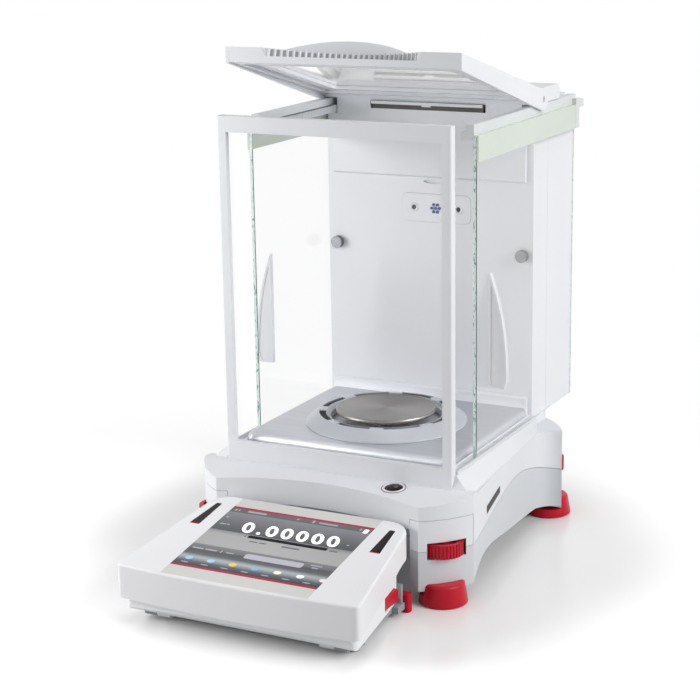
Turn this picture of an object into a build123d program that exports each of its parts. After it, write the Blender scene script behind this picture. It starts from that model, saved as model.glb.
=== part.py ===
from build123d import *
import os
from math import asin, cos, degrees, pi, radians, sin, sqrt, tan

# Semi-micro analytical balance with a glass draft shield and a separate tilting terminal.
# Millimetres, +X to the right, +Y to the back, +Z up. The origin is on the floor, under the
# middle of the whole balance. Lengths along Y are kept as distances behind the pan's axis.
os.makedirs("parts", exist_ok=True)

# Overall layout
pan_to_front = 242.5
pan_to_rear = 181.5
pan_y = (pan_to_front - pan_to_rear) / 2
reach = 200.0
seam = 0.4
clear = 0.4
running_fit = 0.05

# Base
base_half = 114.3
corner_reach = 91.5
block_inner = 84.5
block_tip = 124.0
block_bulge = 3.5
apron_middle = 108.0
waist_half = 98.2
waist_y = 70.0
side_hollow = 1.7
flare_hollow = 5.0
apron_wall = 4.0
leg_bottom = 11.1
front_split = 41.6
rear_split = 44.6
split_points = ((-26.0, 51.5), (38.0, 56.8), (69.0, 50.3))
cover_seam = 65.3
side_deck = 77.0
front_deck = 79.8
deck_slope = 7.0
apron_drop = 4.0
apron_bottom = cover_seam - apron_drop
floor_wall = 3.0
recess_depth = 94.0
arch_points = ((-61.0, 24.3), (-13.0, 21.3), (52.0, 15.3))
arch_rear = 12.3
underside = 24.3
wrap = 8.0
inner_wall = 94.9
cover_ceiling = 73.6
pan_bore = 16.0
cable_bore = 12.0
housing_rear = 112.0
socket_sizes = ((-52.0, 14.0, 10.0), (-20.0, 31.0, 10.5), (14.0, 13.0, 10.5), (46.0, 12.0, 7.0))
side_window_points = ((-55.0, 52.4), (-20.0, 58.0), (-20.0, 63.2), (-55.0, 58.4))
side_window_depth = 1.6
proud = 0.15

# Levelling feet and wheels
spindle_x = 95.0
spindle_reach = 104.0
spindle_radius = 4.0
wheel_radius = 16.8
wheel_height = 12.0
wheel_ribs = 36
rib_depth = 0.7
foot_radius = 18.5
foot_offset = (2.0, 3.5)
foot_disc = 9.5
foot_height = 21.0
foot_lift = 1.0
foot_drop = 8.0

# Weighing chamber
frame_width = 190.9
frame_height = 266.0
frame_depth = 8.1
frame_front = 88.0
frame_foot = 80.3
frame_top_bar = 12.0
frame_side_bar = 7.5
frame_bottom_bar = 14.0
pane = 3.0
plinth_top = 88.8
plinth_half = 97.0
wall_y = 80.0
plate_half = 85.5
plate_front = 73.8
plate_thickness = 1.5
lip_width = 4.6
lip_height = 2.8
cove_top = 106.0
cove_foot = 68.0
track_inner = 90.9
track_outer = 96.6
track_height = 2.7

# Pan and draft ring
pan_radius = 40.0
pan_top = 107.5
pan_thickness = 2.2
pan_rim = 1.2
ring_outer = 64.0
ring_inner = 43.6
ring_foot = 6.0
ring_top = 106.3
slot_radius = 53.5
slot_width = 3.4
slot_count = 8
lift_off = 30.0

# Side doors
door_plane = 93.3
door_open = 38.5
door_length = 203.5
glass_bottom = plinth_top + 0.8
strip_bottom = 314.6
strip_height = 19.2
strip_face = 96.2
strip_wall = 1.4
rail_bottom = 330.4
rail_top = 341.8
rail_outer = 92.6
rail_inner = 86.0
ledge_inner = 82.0
ledge_height = 5.6
rail_tail = 211.9
nub_reach = 10.5
rack_pitch = 2.5133
rack_margin = 24.0
pinion_teeth = 20
shaft_radius = 1.5

# Tower
tower_half = 90.0
tower_bottom = 86.3
tower_joint = 111.0
tower_wall = 3.0
rebate_half = 81.3
rebate_z = 329.8
wall_top = 342.3
crease_z = 280.3

# Lid
hinge_y = 90.0
hinge_z = 346.3
lid_open = 14.7
lid_half = 96.0
lid_reach = 168.0
lid_rear_gap = 11.6
lid_top = 7.1
lid_front_bottom = -4.7
lid_side_wall = 3.0
cap_half = 92.5
cap_radius = 11.2
cap_height = 8.0
cap_rear = 134.0

# Level indicator, on the sloped front of the deck
level_at = (53.0, -98.5)
level_radius = 8.2
level_cup = 7.0
vial_radius = 5.6
level_depth = 4.6
level_flange = 1.5

# Ioniser in the chamber's back wall
ioniser_at = (8.0, 255.8)
ioniser_size = (60.0, 23.0)
nozzle_spread = 39.0
light_pitch = 3.1
thumb_x = 81.5
thumb_z = 222.3
thumb_radius = 5.0

# Terminal
terminal_x = -3.0
terminal_front_half = 97.5
terminal_rear_half = 81.0
terminal_front_top = 43.5
terminal_tilt = 8.6
terminal_length = 121.5
terminal_depth = 23.0
split_drop_rear = 20.2
lower_reach = 99.0
lower_inset = 4.5
lower_bottom = 9.2
terminal_bow = 3.5
terminal_wall = 2.6
terminal_flange = 2.0
rear_round = 18.0
screen_half = 59.0
screen_from = 15.7
screen_to = 108.4
film_from = 2.5
film_to = 121.0
tilt_axis = (18.0, 6.0)
knuckle_radius = 2.9
tilt_pin_radius = 1.5
stand_low = 3.2
stand_high = 8.2
arc_inner = 70.0
arc_outer = 75.0
arc_x = (64.0, 67.0)
tongue_half = 28.0
tongue_end = -60.0
underside_screw = 3.5


def behind(distance):
    """Y of a point that lies so far behind the pan's axis."""
    return pan_y + distance


def bowed(start, end, rise):
    """Arc from start to end whose middle stands off the chord by rise, to its right."""
    run_x, run_y = end[0] - start[0], end[1] - start[1]
    length = sqrt(run_x**2 + run_y**2)
    middle = ((start[0] + end[0]) / 2 + rise * run_y / length,
              (start[1] + end[1]) / 2 - rise * run_x / length)
    return ThreePointArc(start, middle, end)


def base_outline(grow=0.0):
    """The base seen from above: hollow front, four bulged corner blocks, waisted sides."""
    tip = (block_inner, behind(-block_tip))
    corner = (base_half, behind(-corner_reach))
    waist = (waist_half, behind(waist_y))
    rear_corner = (base_half, behind(corner_reach))
    rear_tip = (block_inner, behind(block_tip))
    apron_sag = block_tip - apron_middle
    apron_radius = (block_inner**2 + apron_sag**2) / (2 * apron_sag)
    with BuildSketch() as outline:
        with BuildLine():
            CenterArc((0, behind(-apron_middle) - apron_radius), apron_radius, 90,
                      -degrees(asin(block_inner / apron_radius)))
            bowed(tip, corner, block_bulge)
            bowed(corner, waist, -side_hollow)
            bowed(waist, rear_corner, -flare_hollow)
            bowed(rear_corner, rear_tip, block_bulge)
            Line(rear_tip, (0, behind(block_tip)))
            mirror(about=Plane.YZ)
        make_face()
        if grow:
            offset(amount=grow)
    return outline.sketch



def side_split(drop=0.0):
    """Joint line between top cover and lower housing along a side, corner to corner."""
    middle = [(behind(y), z - drop) for y, z in split_points]
    return Spline((behind(-corner_reach), front_split - drop), *middle,
                  (behind(corner_reach), rear_split - drop))


def cut_box(low, high):
    """Cut a box between two opposite corners out of the part being built."""
    with Locations(tuple(low)):
        Box(high[0] - low[0], high[1] - low[1], high[2] - low[2],
            align=(Align.MIN, Align.MIN, Align.MIN), mode=Mode.SUBTRACT)


def cut_both(low, high):
    """Cut a box on the right and its mirror image on the left."""
    cut_box(low, high)
    cut_box((-high[0], low[1], low[2]), (-low[0], high[1], high[2]))


def wheel_places():
    """Name, side, end and mid-height of the four levelling wheels."""
    for end_name, end, height in (("front", -1, front_split), ("rear", 1, rear_split)):
        for side_name, side in (("left", -1), ("right", 1)):
            yield f"{end_name}_{side_name}", side, end, height


def cut_wheel_pockets(bore_low, bore_high):
    """Clear the levelling wheels and their spindles out of a housing piece."""
    for name, side, end, height in wheel_places():
        centre = (side * spindle_x, behind(end * spindle_reach))
        with BuildSketch(Plane.XY.offset(height - wheel_height / 2 - clear)) as pocket:
            with Locations(centre):
                Circle(wheel_radius + clear)
        extrude(pocket.sketch, amount=wheel_height + 2 * clear, mode=Mode.SUBTRACT)
        with BuildSketch(Plane.XY.offset(bore_low)) as bore:
            with Locations(centre):
                Circle(spindle_radius + clear)
        extrude(bore.sketch, amount=bore_high - bore_low, mode=Mode.SUBTRACT)


def finish(shape, name):
    """Label one finished piece and write its file."""
    shape.label = name
    export_step(shape, f"parts/{name}.step")
    return shape


board_top = underside + floor_wall + 3.6
wedge_foot = (base_half - 3.8, -frame_front - 1.0)
level_z = front_deck - (-level_at[1] - frame_front) * tan(radians(deck_slope))
level_plane = Plane(origin=(level_at[0], behind(level_at[1]), level_z), x_dir=(1, 0, 0),
                    z_dir=(0, -sin(radians(deck_slope)), cos(radians(deck_slope))))


def side_window_bars(gap):
    """Both side sensor windows, grown by a gap for the recess that takes them."""
    with BuildPart() as bars:
        for side in (-1, 1):
            with BuildSketch(Plane.YZ.offset(side * block_inner)) as pane_face:
                Polygon(*[(behind(y), z) for y, z in side_window_points], align=None)
                if gap:
                    offset(amount=gap)
            extrude(pane_face.sketch, amount=side * reach)
        with BuildSketch(Plane.XY) as skin:
            add(base_outline(proud))
            add(base_outline(-side_window_depth - gap), mode=Mode.SUBTRACT)
        extrude(skin.sketch, amount=reach, mode=Mode.INTERSECT)
    return bars.part



# Top cover: sloped deck, raised chamber plinth and the white side skirts
with BuildPart() as top_cover:
    with BuildSketch(Plane.XY.offset(front_split)):
        add(base_outline())
    extrude(amount=front_deck - front_split)
    with BuildSketch(Plane.YZ.offset(-reach)):
        with BuildLine():
            side_split()
            Polyline((behind(corner_reach), rear_split), (behind(corner_reach), cover_seam),
                     (behind(reach), cover_seam), (behind(reach), 0), (behind(-reach), 0),
                     (behind(-reach), apron_bottom), (behind(-corner_reach), apron_bottom),
                     (behind(-corner_reach), front_split))
        make_face()
    extrude(amount=2 * reach, mode=Mode.SUBTRACT)
    cut_both((block_inner - wrap, behind(-reach), 0), (reach, behind(-corner_reach), cover_seam))
    with BuildSketch(Plane.YZ.offset(-reach)):
        fall = (reach - frame_front) * tan(radians(deck_slope))
        Polygon((behind(-frame_front), front_deck), (behind(-reach), front_deck + 1),
                (behind(-reach), front_deck - fall), align=None)
    extrude(amount=2 * reach, mode=Mode.SUBTRACT)
    cut_both((plinth_half, behind(-frame_front + 4), side_deck), (reach, behind(reach), reach))
    cut_box((-reach, behind(wall_y), side_deck), (reach, behind(reach), reach))
    with BuildSketch(Plane.XY.offset(side_deck - 0.1)):
        Polygon((wedge_foot[0], behind(wedge_foot[1])), (plinth_half, behind(wall_y)),
                (-plinth_half, behind(wall_y)), (-wedge_foot[0], behind(wedge_foot[1])),
                align=None)
    with BuildSketch(Plane.XY.offset(plinth_top)):
        Polygon((plinth_half, behind(-frame_front + 5)), (plinth_half, behind(wall_y)),
                (-plinth_half, behind(wall_y)), (-plinth_half, behind(-frame_front + 5)),
                align=None)
    loft(ruled=True)
    with BuildSketch(Plane.XY.offset(side_deck)):
        with Locations((0, behind((wall_y + block_tip) / 2 - 1))):
            Rectangle(2 * tower_half - 4, block_tip - wall_y - 2)
    extrude(amount=tower_bottom - side_deck)
    with BuildSketch(Plane.XY.offset(side_deck)):
        with Locations((0, behind(-frame_front + frame_depth / 2))):
            Rectangle(frame_width + 2.4, frame_depth + 2.4)
    extrude(amount=frame_foot - side_deck)
    cut_box((-frame_width / 2 - 0.15, behind(-frame_front - 2), frame_foot),
            (frame_width / 2 + 0.15, behind(-frame_front + frame_depth + 0.15), reach))
    cut_box((-inner_wall, behind(-corner_reach), 0), (inner_wall, behind(corner_reach), cover_ceiling))
    cut_box((-block_inner + wrap + apron_wall, behind(-apron_middle + apron_wall), 0),
            (block_inner - wrap - apron_wall, behind(-corner_reach), cover_ceiling))
    cut_box((-plinth_half + 5, behind(-wall_y + 4), 0),
            (plinth_half - 5, behind(wall_y - 4), plinth_top - floor_wall))
    with BuildSketch(Plane.XY):
        with Locations((0, behind(0))):
            Circle(pan_bore)
        with Locations((0, behind(wall_y + 20))):
            Circle(cable_bore)
    extrude(amount=reach, mode=Mode.SUBTRACT)
    with BuildSketch(level_plane.offset(-level_flange)):
        Circle(level_radius + running_fit)
    extrude(amount=level_flange + 1, mode=Mode.SUBTRACT)
    with BuildSketch(level_plane.offset(-level_depth - 6)):
        Circle(level_cup + running_fit)
    extrude(amount=level_depth + 7, mode=Mode.SUBTRACT)
    add(side_window_bars(0.2), mode=Mode.SUBTRACT)
    cut_wheel_pockets(leg_bottom, cover_seam - seam)
finish(top_cover.part, "top_cover")

# Chassis: the middle tray between the two shells, carrying the corner blocks
with BuildPart() as chassis:
    with BuildSketch(Plane.XY.offset(front_split)):
        add(base_outline())
    extrude(amount=cover_seam - seam - front_split)
    cut_both((inner_wall - seam, behind(-corner_reach - seam), 0),
             (reach, behind(corner_reach + seam), reach))
    cut_box((-reach, behind(-corner_reach), 0), (reach, behind(reach), rear_split))
    cut_box((-block_inner + wrap, behind(-reach), 0), (block_inner - wrap, behind(-recess_depth), reach))
    cut_box((-block_inner + wrap - seam, behind(-reach), apron_bottom - seam),
            (block_inner - wrap + seam, behind(-corner_reach), reach))
    cut_box((-inner_wall + 4, behind(-corner_reach + 3.5), rear_split + floor_wall),
            (inner_wall - 4, behind(housing_rear), reach))
    cut_wheel_pockets(leg_bottom, cover_seam - 6)
finish(chassis.part, "chassis")

# Lower housing: grey bottom shell with four legs and an arched lower edge
with BuildPart() as lower_housing:
    with BuildSketch(Plane.XY.offset(leg_bottom)):
        add(base_outline())
    extrude(amount=split_points[1][1] - leg_bottom + 2)
    with BuildSketch(Plane.YZ.offset(-reach)):
        with BuildLine():
            side_split(seam)
            Polyline((behind(corner_reach), rear_split - seam), (behind(reach), rear_split - seam),
                     (behind(reach), reach), (behind(-reach), reach),
                     (behind(-reach), front_split - seam),
                     (behind(-corner_reach), front_split - seam))
        make_face()
    extrude(amount=2 * reach, mode=Mode.SUBTRACT)
    with BuildSketch(Plane.YZ.offset(-reach)):
        with BuildLine():
            Spline((behind(-corner_reach), leg_bottom),
                   *[(behind(y), z) for y, z in arch_points],
                   (behind(corner_reach), arch_rear))
            Polyline((behind(corner_reach), arch_rear), (behind(corner_reach), leg_bottom - 1),
                     (behind(-corner_reach), leg_bottom - 1), (behind(-corner_reach), leg_bottom))
        make_face()
    extrude(amount=2 * reach, mode=Mode.SUBTRACT)
    cut_box((-block_inner + wrap, behind(-reach), 0), (block_inner - wrap, behind(-recess_depth), reach))
    cut_box((-block_inner, behind(-recess_depth), 0), (block_inner, behind(block_tip - 6), underside))
    cut_box((-inner_wall, behind(-corner_reach + 0.9), underside + floor_wall),
            (inner_wall, behind(housing_rear), reach))
    for x, width, height in socket_sizes:
        cut_box((x - width / 2 - clear, behind(housing_rear - 1), board_top - clear),
                (x + width / 2 + clear, behind(reach), board_top + height + clear))
    cut_wheel_pockets(0, reach)
finish(lower_housing.part, "lower_housing")


# Levelling feet: a disc under each leg, a crescent wall round the corner block and a spindle
def make_foot(side, end, height):
    centre_x = side * (spindle_x + foot_offset[0])
    centre_y = behind(end * (spindle_reach + foot_offset[1]))
    with BuildPart() as foot:
        with BuildSketch(Plane(origin=(centre_x, centre_y, 0), x_dir=(1, 0, 0), z_dir=(0, -1, 0))):
            with BuildLine():
                Polyline((foot_radius - 3, foot_height), (0, foot_height), (0, 0),
                         (foot_radius - 1.4, 0), (foot_radius, 1.4), (foot_radius - 0.4, foot_height - 3))
                RadiusArc((foot_radius - 0.4, foot_height - 3), (foot_radius - 3, foot_height), -3)
            make_face()
        revolve(axis=Axis((centre_x, centre_y, 0), (0, 0, 1)))
        with BuildSketch(Plane.XY.offset(foot_disc)):
            add(base_outline(clear))
        extrude(amount=foot_height, mode=Mode.SUBTRACT)
        with BuildSketch(Plane.XY.offset(foot_disc - 1)):
            with Locations((side * spindle_x, behind(end * spindle_reach))):
                Circle(spindle_radius)
        extrude(amount=height + wheel_height / 2 + 7 - foot_disc + 1)
        chamfer(foot.edges().group_by(Axis.Z)[-1], 0.6)
    return foot.part


def make_wheel(side, end, height):
    centre = (side * spindle_x, behind(end * spindle_reach))
    with BuildPart() as wheel:
        with BuildSketch(Plane.XY.offset(height - wheel_height / 2)):
            with Locations(centre):
                Circle(wheel_radius - rib_depth)
                with PolarLocations(wheel_radius - rib_depth, wheel_ribs):
                    Rectangle(2 * rib_depth, pi * wheel_radius / wheel_ribs)
                Circle(spindle_radius + running_fit, mode=Mode.SUBTRACT)
        extrude(amount=wheel_height)
        with BuildSketch(Plane.XY.offset(height + wheel_height / 2 - 2)):
            with Locations(centre):
                Circle(wheel_radius - 3.5)
                Circle(spindle_radius + 3, mode=Mode.SUBTRACT)
        extrude(amount=3, mode=Mode.SUBTRACT)
    return wheel.part


for place, side, end, height in wheel_places():
    finish(make_foot(side, end, height), f"{place}_foot")
    finish(make_wheel(side, end, height), f"{place}_wheel")

# Level indicator: flanged holder and glass vial
vial_seat = 3.0
with BuildPart() as level_holder:
    with BuildSketch(level_plane.offset(-level_flange)):
        Circle(level_radius)
    extrude(amount=level_flange + 0.5)
    with BuildSketch(level_plane.offset(-level_depth)):
        Circle(level_cup)
    extrude(amount=level_depth)
    with BuildSketch(level_plane.offset(-vial_seat)):
        Circle(vial_radius)
    extrude(amount=level_depth, mode=Mode.SUBTRACT)
finish(level_holder.part, "level_holder")
with BuildPart() as level_vial:
    with BuildSketch(level_plane.offset(-vial_seat)):
        Circle(vial_radius)
    extrude(amount=vial_seat)
    fillet(level_vial.edges().group_by(Axis.Z)[-1], 0.8)
finish(level_vial.part, "level_vial")

# Chamber floor: steel plate, white rim and door tracks
with BuildPart() as chamber_floor:
    with BuildSketch(Plane.XY.offset(plinth_top)):
        with Locations((0, behind((wall_y - 0.3 - plate_front) / 2))):
            Rectangle(2 * plate_half, wall_y - 0.3 + plate_front)
        with Locations((0, behind(0))):
            Circle(pan_bore + 1, mode=Mode.SUBTRACT)
    extrude(amount=plate_thickness)
finish(chamber_floor.part, "chamber_floor")

with BuildPart() as chamber_rim:
    rim_rear = wall_y - 0.3
    rim_front = plate_front + 0.2 + lip_width
    with BuildSketch(Plane.XY.offset(plinth_top)):
        with Locations((0, behind((rim_rear - rim_front) / 2))):
            Rectangle(2 * (plate_half + 0.2 + lip_width), rim_rear + rim_front)
        with Locations((0, behind(rim_rear))):
            Rectangle(2 * (plate_half + 0.2), 2 * (rim_rear + plate_front + 0.2), mode=Mode.SUBTRACT)
    extrude(amount=lip_height)
    fillet(chamber_rim.edges().group_by(Axis.Z)[-1].filter_by(Axis.Y), 1.3)
    with BuildSketch(Plane.YZ.offset(-plate_half - 1)):
        cove_low = plinth_top + plate_thickness
        with BuildLine():
            ThreePointArc((behind(cove_foot), cove_low), (behind(wall_y - 5.5), cove_low + 5.5),
                          (behind(wall_y - 3), cove_top - 1))
            Polyline((behind(wall_y - 3), cove_top - 1), (behind(wall_y - 2), cove_top),
                     (behind(wall_y), cove_top), (behind(wall_y), cove_low), (behind(cove_foot), cove_low))
        make_face()
    extrude(amount=2 * plate_half + 2)
finish(chamber_rim.part, "chamber_rim")

with BuildPart() as door_tracks:
    for side in (-1, 1):
        with BuildSketch(Plane.XZ.offset(-behind(-frame_front + frame_depth + 0.4))):
            with Locations((side * (track_inner + track_outer) / 2, plinth_top)):
                Rectangle(track_outer - track_inner, track_height, align=(Align.CENTER, Align.MIN))
            with Locations((side * door_plane, plinth_top + 0.5)):
                Rectangle(pane + 0.8, track_height, align=(Align.CENTER, Align.MIN),
                          mode=Mode.SUBTRACT)
        extrude(amount=-(wall_y + frame_front - frame_depth - 0.8))
finish(door_tracks.part, "door_tracks")

# Front frame with its pane
with BuildPart() as front_frame:
    with BuildSketch(Plane.XZ.offset(-behind(-frame_front))):
        with Locations((0, frame_foot)):
            Rectangle(frame_width, frame_height, align=(Align.CENTER, Align.MIN))
        with Locations((0, frame_foot + frame_bottom_bar)):
            Rectangle(frame_width - 2 * frame_side_bar, frame_height - frame_top_bar - frame_bottom_bar,
                      align=(Align.CENTER, Align.MIN), mode=Mode.SUBTRACT)
    extrude(amount=-frame_depth)
    fillet(front_frame.edges().filter_by(Axis.Z).group_by(Axis.X)[0], 1.6)
    fillet(front_frame.edges().filter_by(Axis.Z).group_by(Axis.X)[-1], 1.6)
    with BuildSketch(Plane.XZ.offset(-behind(-frame_front + frame_depth - pane - 0.4))):
        with Locations((0, frame_foot + frame_bottom_bar - 3)):
            Rectangle(frame_width - 2 * frame_side_bar + 6,
                      frame_height - frame_top_bar - frame_bottom_bar + 6,
                      align=(Align.CENTER, Align.MIN))
    extrude(amount=-pane - 0.4, mode=Mode.SUBTRACT)
finish(front_frame.part, "front_frame")

with BuildPart() as front_glass:
    with BuildSketch(Plane.XZ.offset(-behind(-frame_front + frame_depth - pane - 0.4))):
        with Locations((0, frame_foot + frame_bottom_bar - 3)):
            Rectangle(frame_width - 2 * frame_side_bar + 6,
                      frame_height - frame_top_bar - frame_bottom_bar + 6,
                      align=(Align.CENTER, Align.MIN))
    extrude(amount=-pane)
finish(front_glass.part, "front_glass")

# Weighing pan on its stem, and the conical draft ring
with BuildPart() as weighing_pan:
    with BuildSketch(Plane(origin=(0, behind(0), 0), x_dir=(1, 0, 0), z_dir=(0, -1, 0))):
        Polygon((0, pan_top - pan_thickness), (pan_radius - 2, pan_top - pan_thickness),
                (pan_radius, pan_top - 1.0), (pan_radius, pan_top + pan_rim - 1),
                (pan_radius - 1.2, pan_top + pan_rim - 1), (pan_radius - 2.2, pan_top - pan_rim),
                (0, pan_top - pan_rim), align=None)
    revolve(axis=Axis((0, behind(0), 0), (0, 0, 1)))
finish(weighing_pan.part, "weighing_pan")

stem_foot = 84.6
with BuildPart() as pan_support:
    with BuildSketch(Plane(origin=(0, behind(0), 0), x_dir=(1, 0, 0), z_dir=(0, -1, 0))):
        under_pan = pan_top - pan_thickness
        Polygon((0, stem_foot), (3, stem_foot), (5, stem_foot + 10), (5, under_pan - 4),
                (22, under_pan - 2), (22, under_pan), (0, under_pan), align=None)
    revolve(axis=Axis((0, behind(0), 0), (0, 0, 1)))
finish(pan_support.part, "pan_support")

ring_seat = plinth_top + plate_thickness
with BuildPart() as draft_ring:
    with BuildSketch(Plane(origin=(0, behind(0), 0), x_dir=(1, 0, 0), z_dir=(0, -1, 0))):
        with BuildLine():
            Polyline((ring_outer - 2.5, ring_seat), (ring_outer, ring_seat),
                     (ring_outer, ring_seat + ring_foot))
            ThreePointArc((ring_outer, ring_seat + ring_foot), (ring_outer - 3, ring_top - 6),
                          (slot_radius + 5, ring_top - 1.6))
            Polyline((slot_radius + 5, ring_top - 1.6), (slot_radius + 2.6, ring_top),
                     (ring_inner + 1, ring_top), (ring_inner, ring_top - 1),
                     (ring_inner, ring_top - 8), (ring_inner + 2, ring_top - 8),
                     (ring_inner + 2, ring_top - 2.4), (slot_radius + 2, ring_top - 2.4),
                     (ring_outer - 5.5, ring_top - 8), (ring_outer - 2.5, ring_seat + ring_foot - 2),
                     (ring_outer - 2.5, ring_seat))
        make_face()
    revolve(axis=Axis((0, behind(0), 0), (0, 0, 1)))
    with BuildSketch(Plane.XY.offset(ring_top - 4)):
        with Locations((0, behind(0))):
            with PolarLocations(0, slot_count):
                SlotArc(CenterArc((0, 0), slot_radius, -15, 30), slot_width)
    extrude(amount=6, mode=Mode.SUBTRACT)
finish(draft_ring.part, "draft_ring")


# Tower: front wall with its side returns, open at the back
wall_face = wall_y + 0.3


def tower_section(inset):
    """Front view of the tower, with the rebates that the door rails run in."""
    half, step = tower_half - inset, rebate_half - inset
    low, shoulder, top = tower_bottom + inset, rebate_z - inset, wall_top - inset
    Polygon((-half, low), (half, low), (half, shoulder), (step, shoulder), (step, top),
            (-step, top), (-step, shoulder), (-half, shoulder), align=None)


with BuildPart() as tower_front:
    with BuildSketch(Plane.XZ.offset(-behind(wall_face))):
        tower_section(0)
    extrude(amount=-(tower_joint - wall_face))
    with BuildSketch(Plane.XZ.offset(-behind(wall_face + tower_wall))):
        tower_section(tower_wall)
    extrude(amount=-tower_joint, mode=Mode.SUBTRACT)
    with BuildSketch(Plane.YZ.offset(-84)):
        with BuildLine():
            ThreePointArc((behind(wall_face), crease_z + 45), (behind(wall_face - 2.6), crease_z + 18),
                          (behind(wall_face - 3), crease_z + 2))
            Polyline((behind(wall_face - 3), crease_z + 2), (behind(wall_face), crease_z),
                     (behind(wall_face), crease_z + 45))
        make_face()
    extrude(amount=168)
    with BuildSketch(Plane.XZ.offset(-behind(wall_face - 4))):
        with Locations((0, 338.0)):
            Rectangle(101.4, 6.6)
    extrude(amount=-9, mode=Mode.SUBTRACT)
    with BuildSketch(Plane.XZ.offset(-behind(wall_face))):
        with Locations(ioniser_at):
            RectangleRounded(ioniser_size[0] + 0.4, ioniser_size[1] + 0.4, 5)
    extrude(amount=-1.8, mode=Mode.SUBTRACT)
    with BuildSketch(Plane.XZ.offset(-behind(wall_face - 1))):
        with Locations(ioniser_at):
            Rectangle(48, 12)
        with Locations((-thumb_x, thumb_z), (thumb_x, thumb_z)):
            Circle(2 + running_fit)
    extrude(amount=-6, mode=Mode.SUBTRACT)
    with BuildSketch(Plane.XZ.offset(-behind(wall_face - 4))):
        with BuildLine():
            ThreePointArc((-4, crease_z - 3), (5, crease_z - 1.2), (14, crease_z - 3))
            ThreePointArc((14, crease_z - 3), (5, crease_z - 4.6), (-4, crease_z - 3))
        make_face()
    extrude(amount=-6, mode=Mode.SUBTRACT)
    with BuildSketch(Plane.XY.offset(rail_bottom)):
        with Locations((0, behind(wall_y + 17))):
            Rectangle(2 * rebate_half + 2, 19.4)
    extrude(amount=ledge_height + 0.4, mode=Mode.SUBTRACT)
finish(tower_front.part, "tower_front")

with BuildPart() as tower_rear:
    with BuildSketch(Plane.XZ.offset(-behind(tower_joint + 0.3))):
        tower_section(0)
    extrude(amount=-(pan_to_rear - 4.5 - tower_joint - 0.3))
    with BuildSketch(Plane.XZ.offset(-behind(tower_joint))):
        tower_section(tower_wall)
    extrude(amount=-(pan_to_rear - 4.5 - tower_joint - tower_wall), mode=Mode.SUBTRACT)
    rear_uprights = tower_rear.edges().filter_by(Axis.Z).group_by(Axis.Y)[-1]
    fillet(rear_uprights.filter_by(lambda e: abs(e.center().X) > rebate_half + 1), 12)
    with BuildSketch(Plane.XZ.offset(-behind(pan_to_rear - 10))):
        with GridLocations(0, 6, 1, 9):
            with Locations((0, 240)):
                SlotOverall(90, 2.4)
    extrude(amount=-20, mode=Mode.SUBTRACT)
finish(tower_rear.part, "tower_rear")

with BuildPart() as tower_cap:
    with BuildSketch(Plane.YZ.offset(-cap_half)):
        drop = hinge_z - wall_top
        foot_y = hinge_y - sqrt(cap_radius**2 - drop**2)
        brow_y = hinge_y - sqrt(cap_radius**2 - cap_height**2)
        with BuildLine():
            ThreePointArc((behind(foot_y), wall_top), (behind(hinge_y - cap_radius), hinge_z),
                          (behind(brow_y), hinge_z + cap_height))
            Polyline((behind(brow_y), hinge_z + cap_height), (behind(cap_rear - 4), hinge_z + cap_height),
                     (behind(cap_rear), hinge_z + cap_height - 4), (behind(cap_rear), wall_top),
                     (behind(foot_y), wall_top))
        make_face()
    extrude(amount=2 * cap_half)
    cut_box((-78, behind(wall_face + tower_wall), 0), (78, behind(cap_rear - 4), hinge_z + 4.5))
    with BuildSketch(Plane.YZ.offset(-reach)):
        with Locations((behind(hinge_y), hinge_z)):
            Circle(2.5)
    extrude(amount=2 * reach, mode=Mode.SUBTRACT)
finish(tower_cap.part, "tower_cap")

with BuildPart() as lid_pins:
    for side in (-1, 1):
        with BuildSketch(Plane.YZ.offset(side * (lid_half + 80) / 2 - (lid_half - 80) / 2)):
            with Locations((behind(hinge_y), hinge_z)):
                Circle(2.5)
        extrude(amount=lid_half - 80)
finish(lid_pins.part, "lid_hinge_pins")

# Ioniser: trim panel, two nozzles and the status lights between them
with BuildPart() as ioniser_panel:
    with BuildSketch(Plane.XZ.offset(-behind(wall_face - 0.3))):
        with Locations(ioniser_at):
            RectangleRounded(ioniser_size[0], ioniser_size[1], 4.8)
            with Locations((-nozzle_spread / 2, 0), (nozzle_spread / 2, 0)):
                Circle(3.6, mode=Mode.SUBTRACT)
    extrude(amount=-2.1)
    with BuildSketch(Plane.XZ.offset(-behind(wall_face - 1))):
        with Locations(ioniser_at):
            Circle(1.45)
            with PolarLocations(light_pitch, 6):
                Circle(1.45)
    extrude(amount=-1.6, mode=Mode.SUBTRACT)
finish(ioniser_panel.part, "ioniser_panel")

with BuildPart() as ioniser_nozzles:
    for side in (-1, 1):
        with BuildSketch(Plane.XZ.offset(-behind(wall_face - 1.3))):
            with Locations((ioniser_at[0] + side * nozzle_spread / 2, ioniser_at[1])):
                Circle(3.55)
                Circle(1.9, mode=Mode.SUBTRACT)
        extrude(amount=-8)
finish(ioniser_nozzles.part, "ioniser_nozzles")

with BuildPart() as status_lights:
    with BuildSketch(Plane.XZ.offset(-behind(wall_face - 0.4))):
        with Locations(ioniser_at):
            Circle(1.4)
            with PolarLocations(light_pitch, 6):
                Circle(1.4)
    extrude(amount=-1.0)
finish(status_lights.part, "status_lights")


def make_thumb_screw(side):
    with BuildPart() as screw:
        with BuildSketch(Plane.XZ.offset(-behind(wall_face - 0.3))):
            with Locations((side * thumb_x, thumb_z)):
                Circle(thumb_radius - 0.3)
                with PolarLocations(thumb_radius - 0.3, 24):
                    Rectangle(0.6, 0.7)
        extrude(amount=5)
        with BuildSketch(Plane.XZ.offset(-behind(wall_face - 0.3))):
            with Locations((side * thumb_x, thumb_z)):
                Circle(2)
        extrude(amount=-8)
    return screw.part


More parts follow.
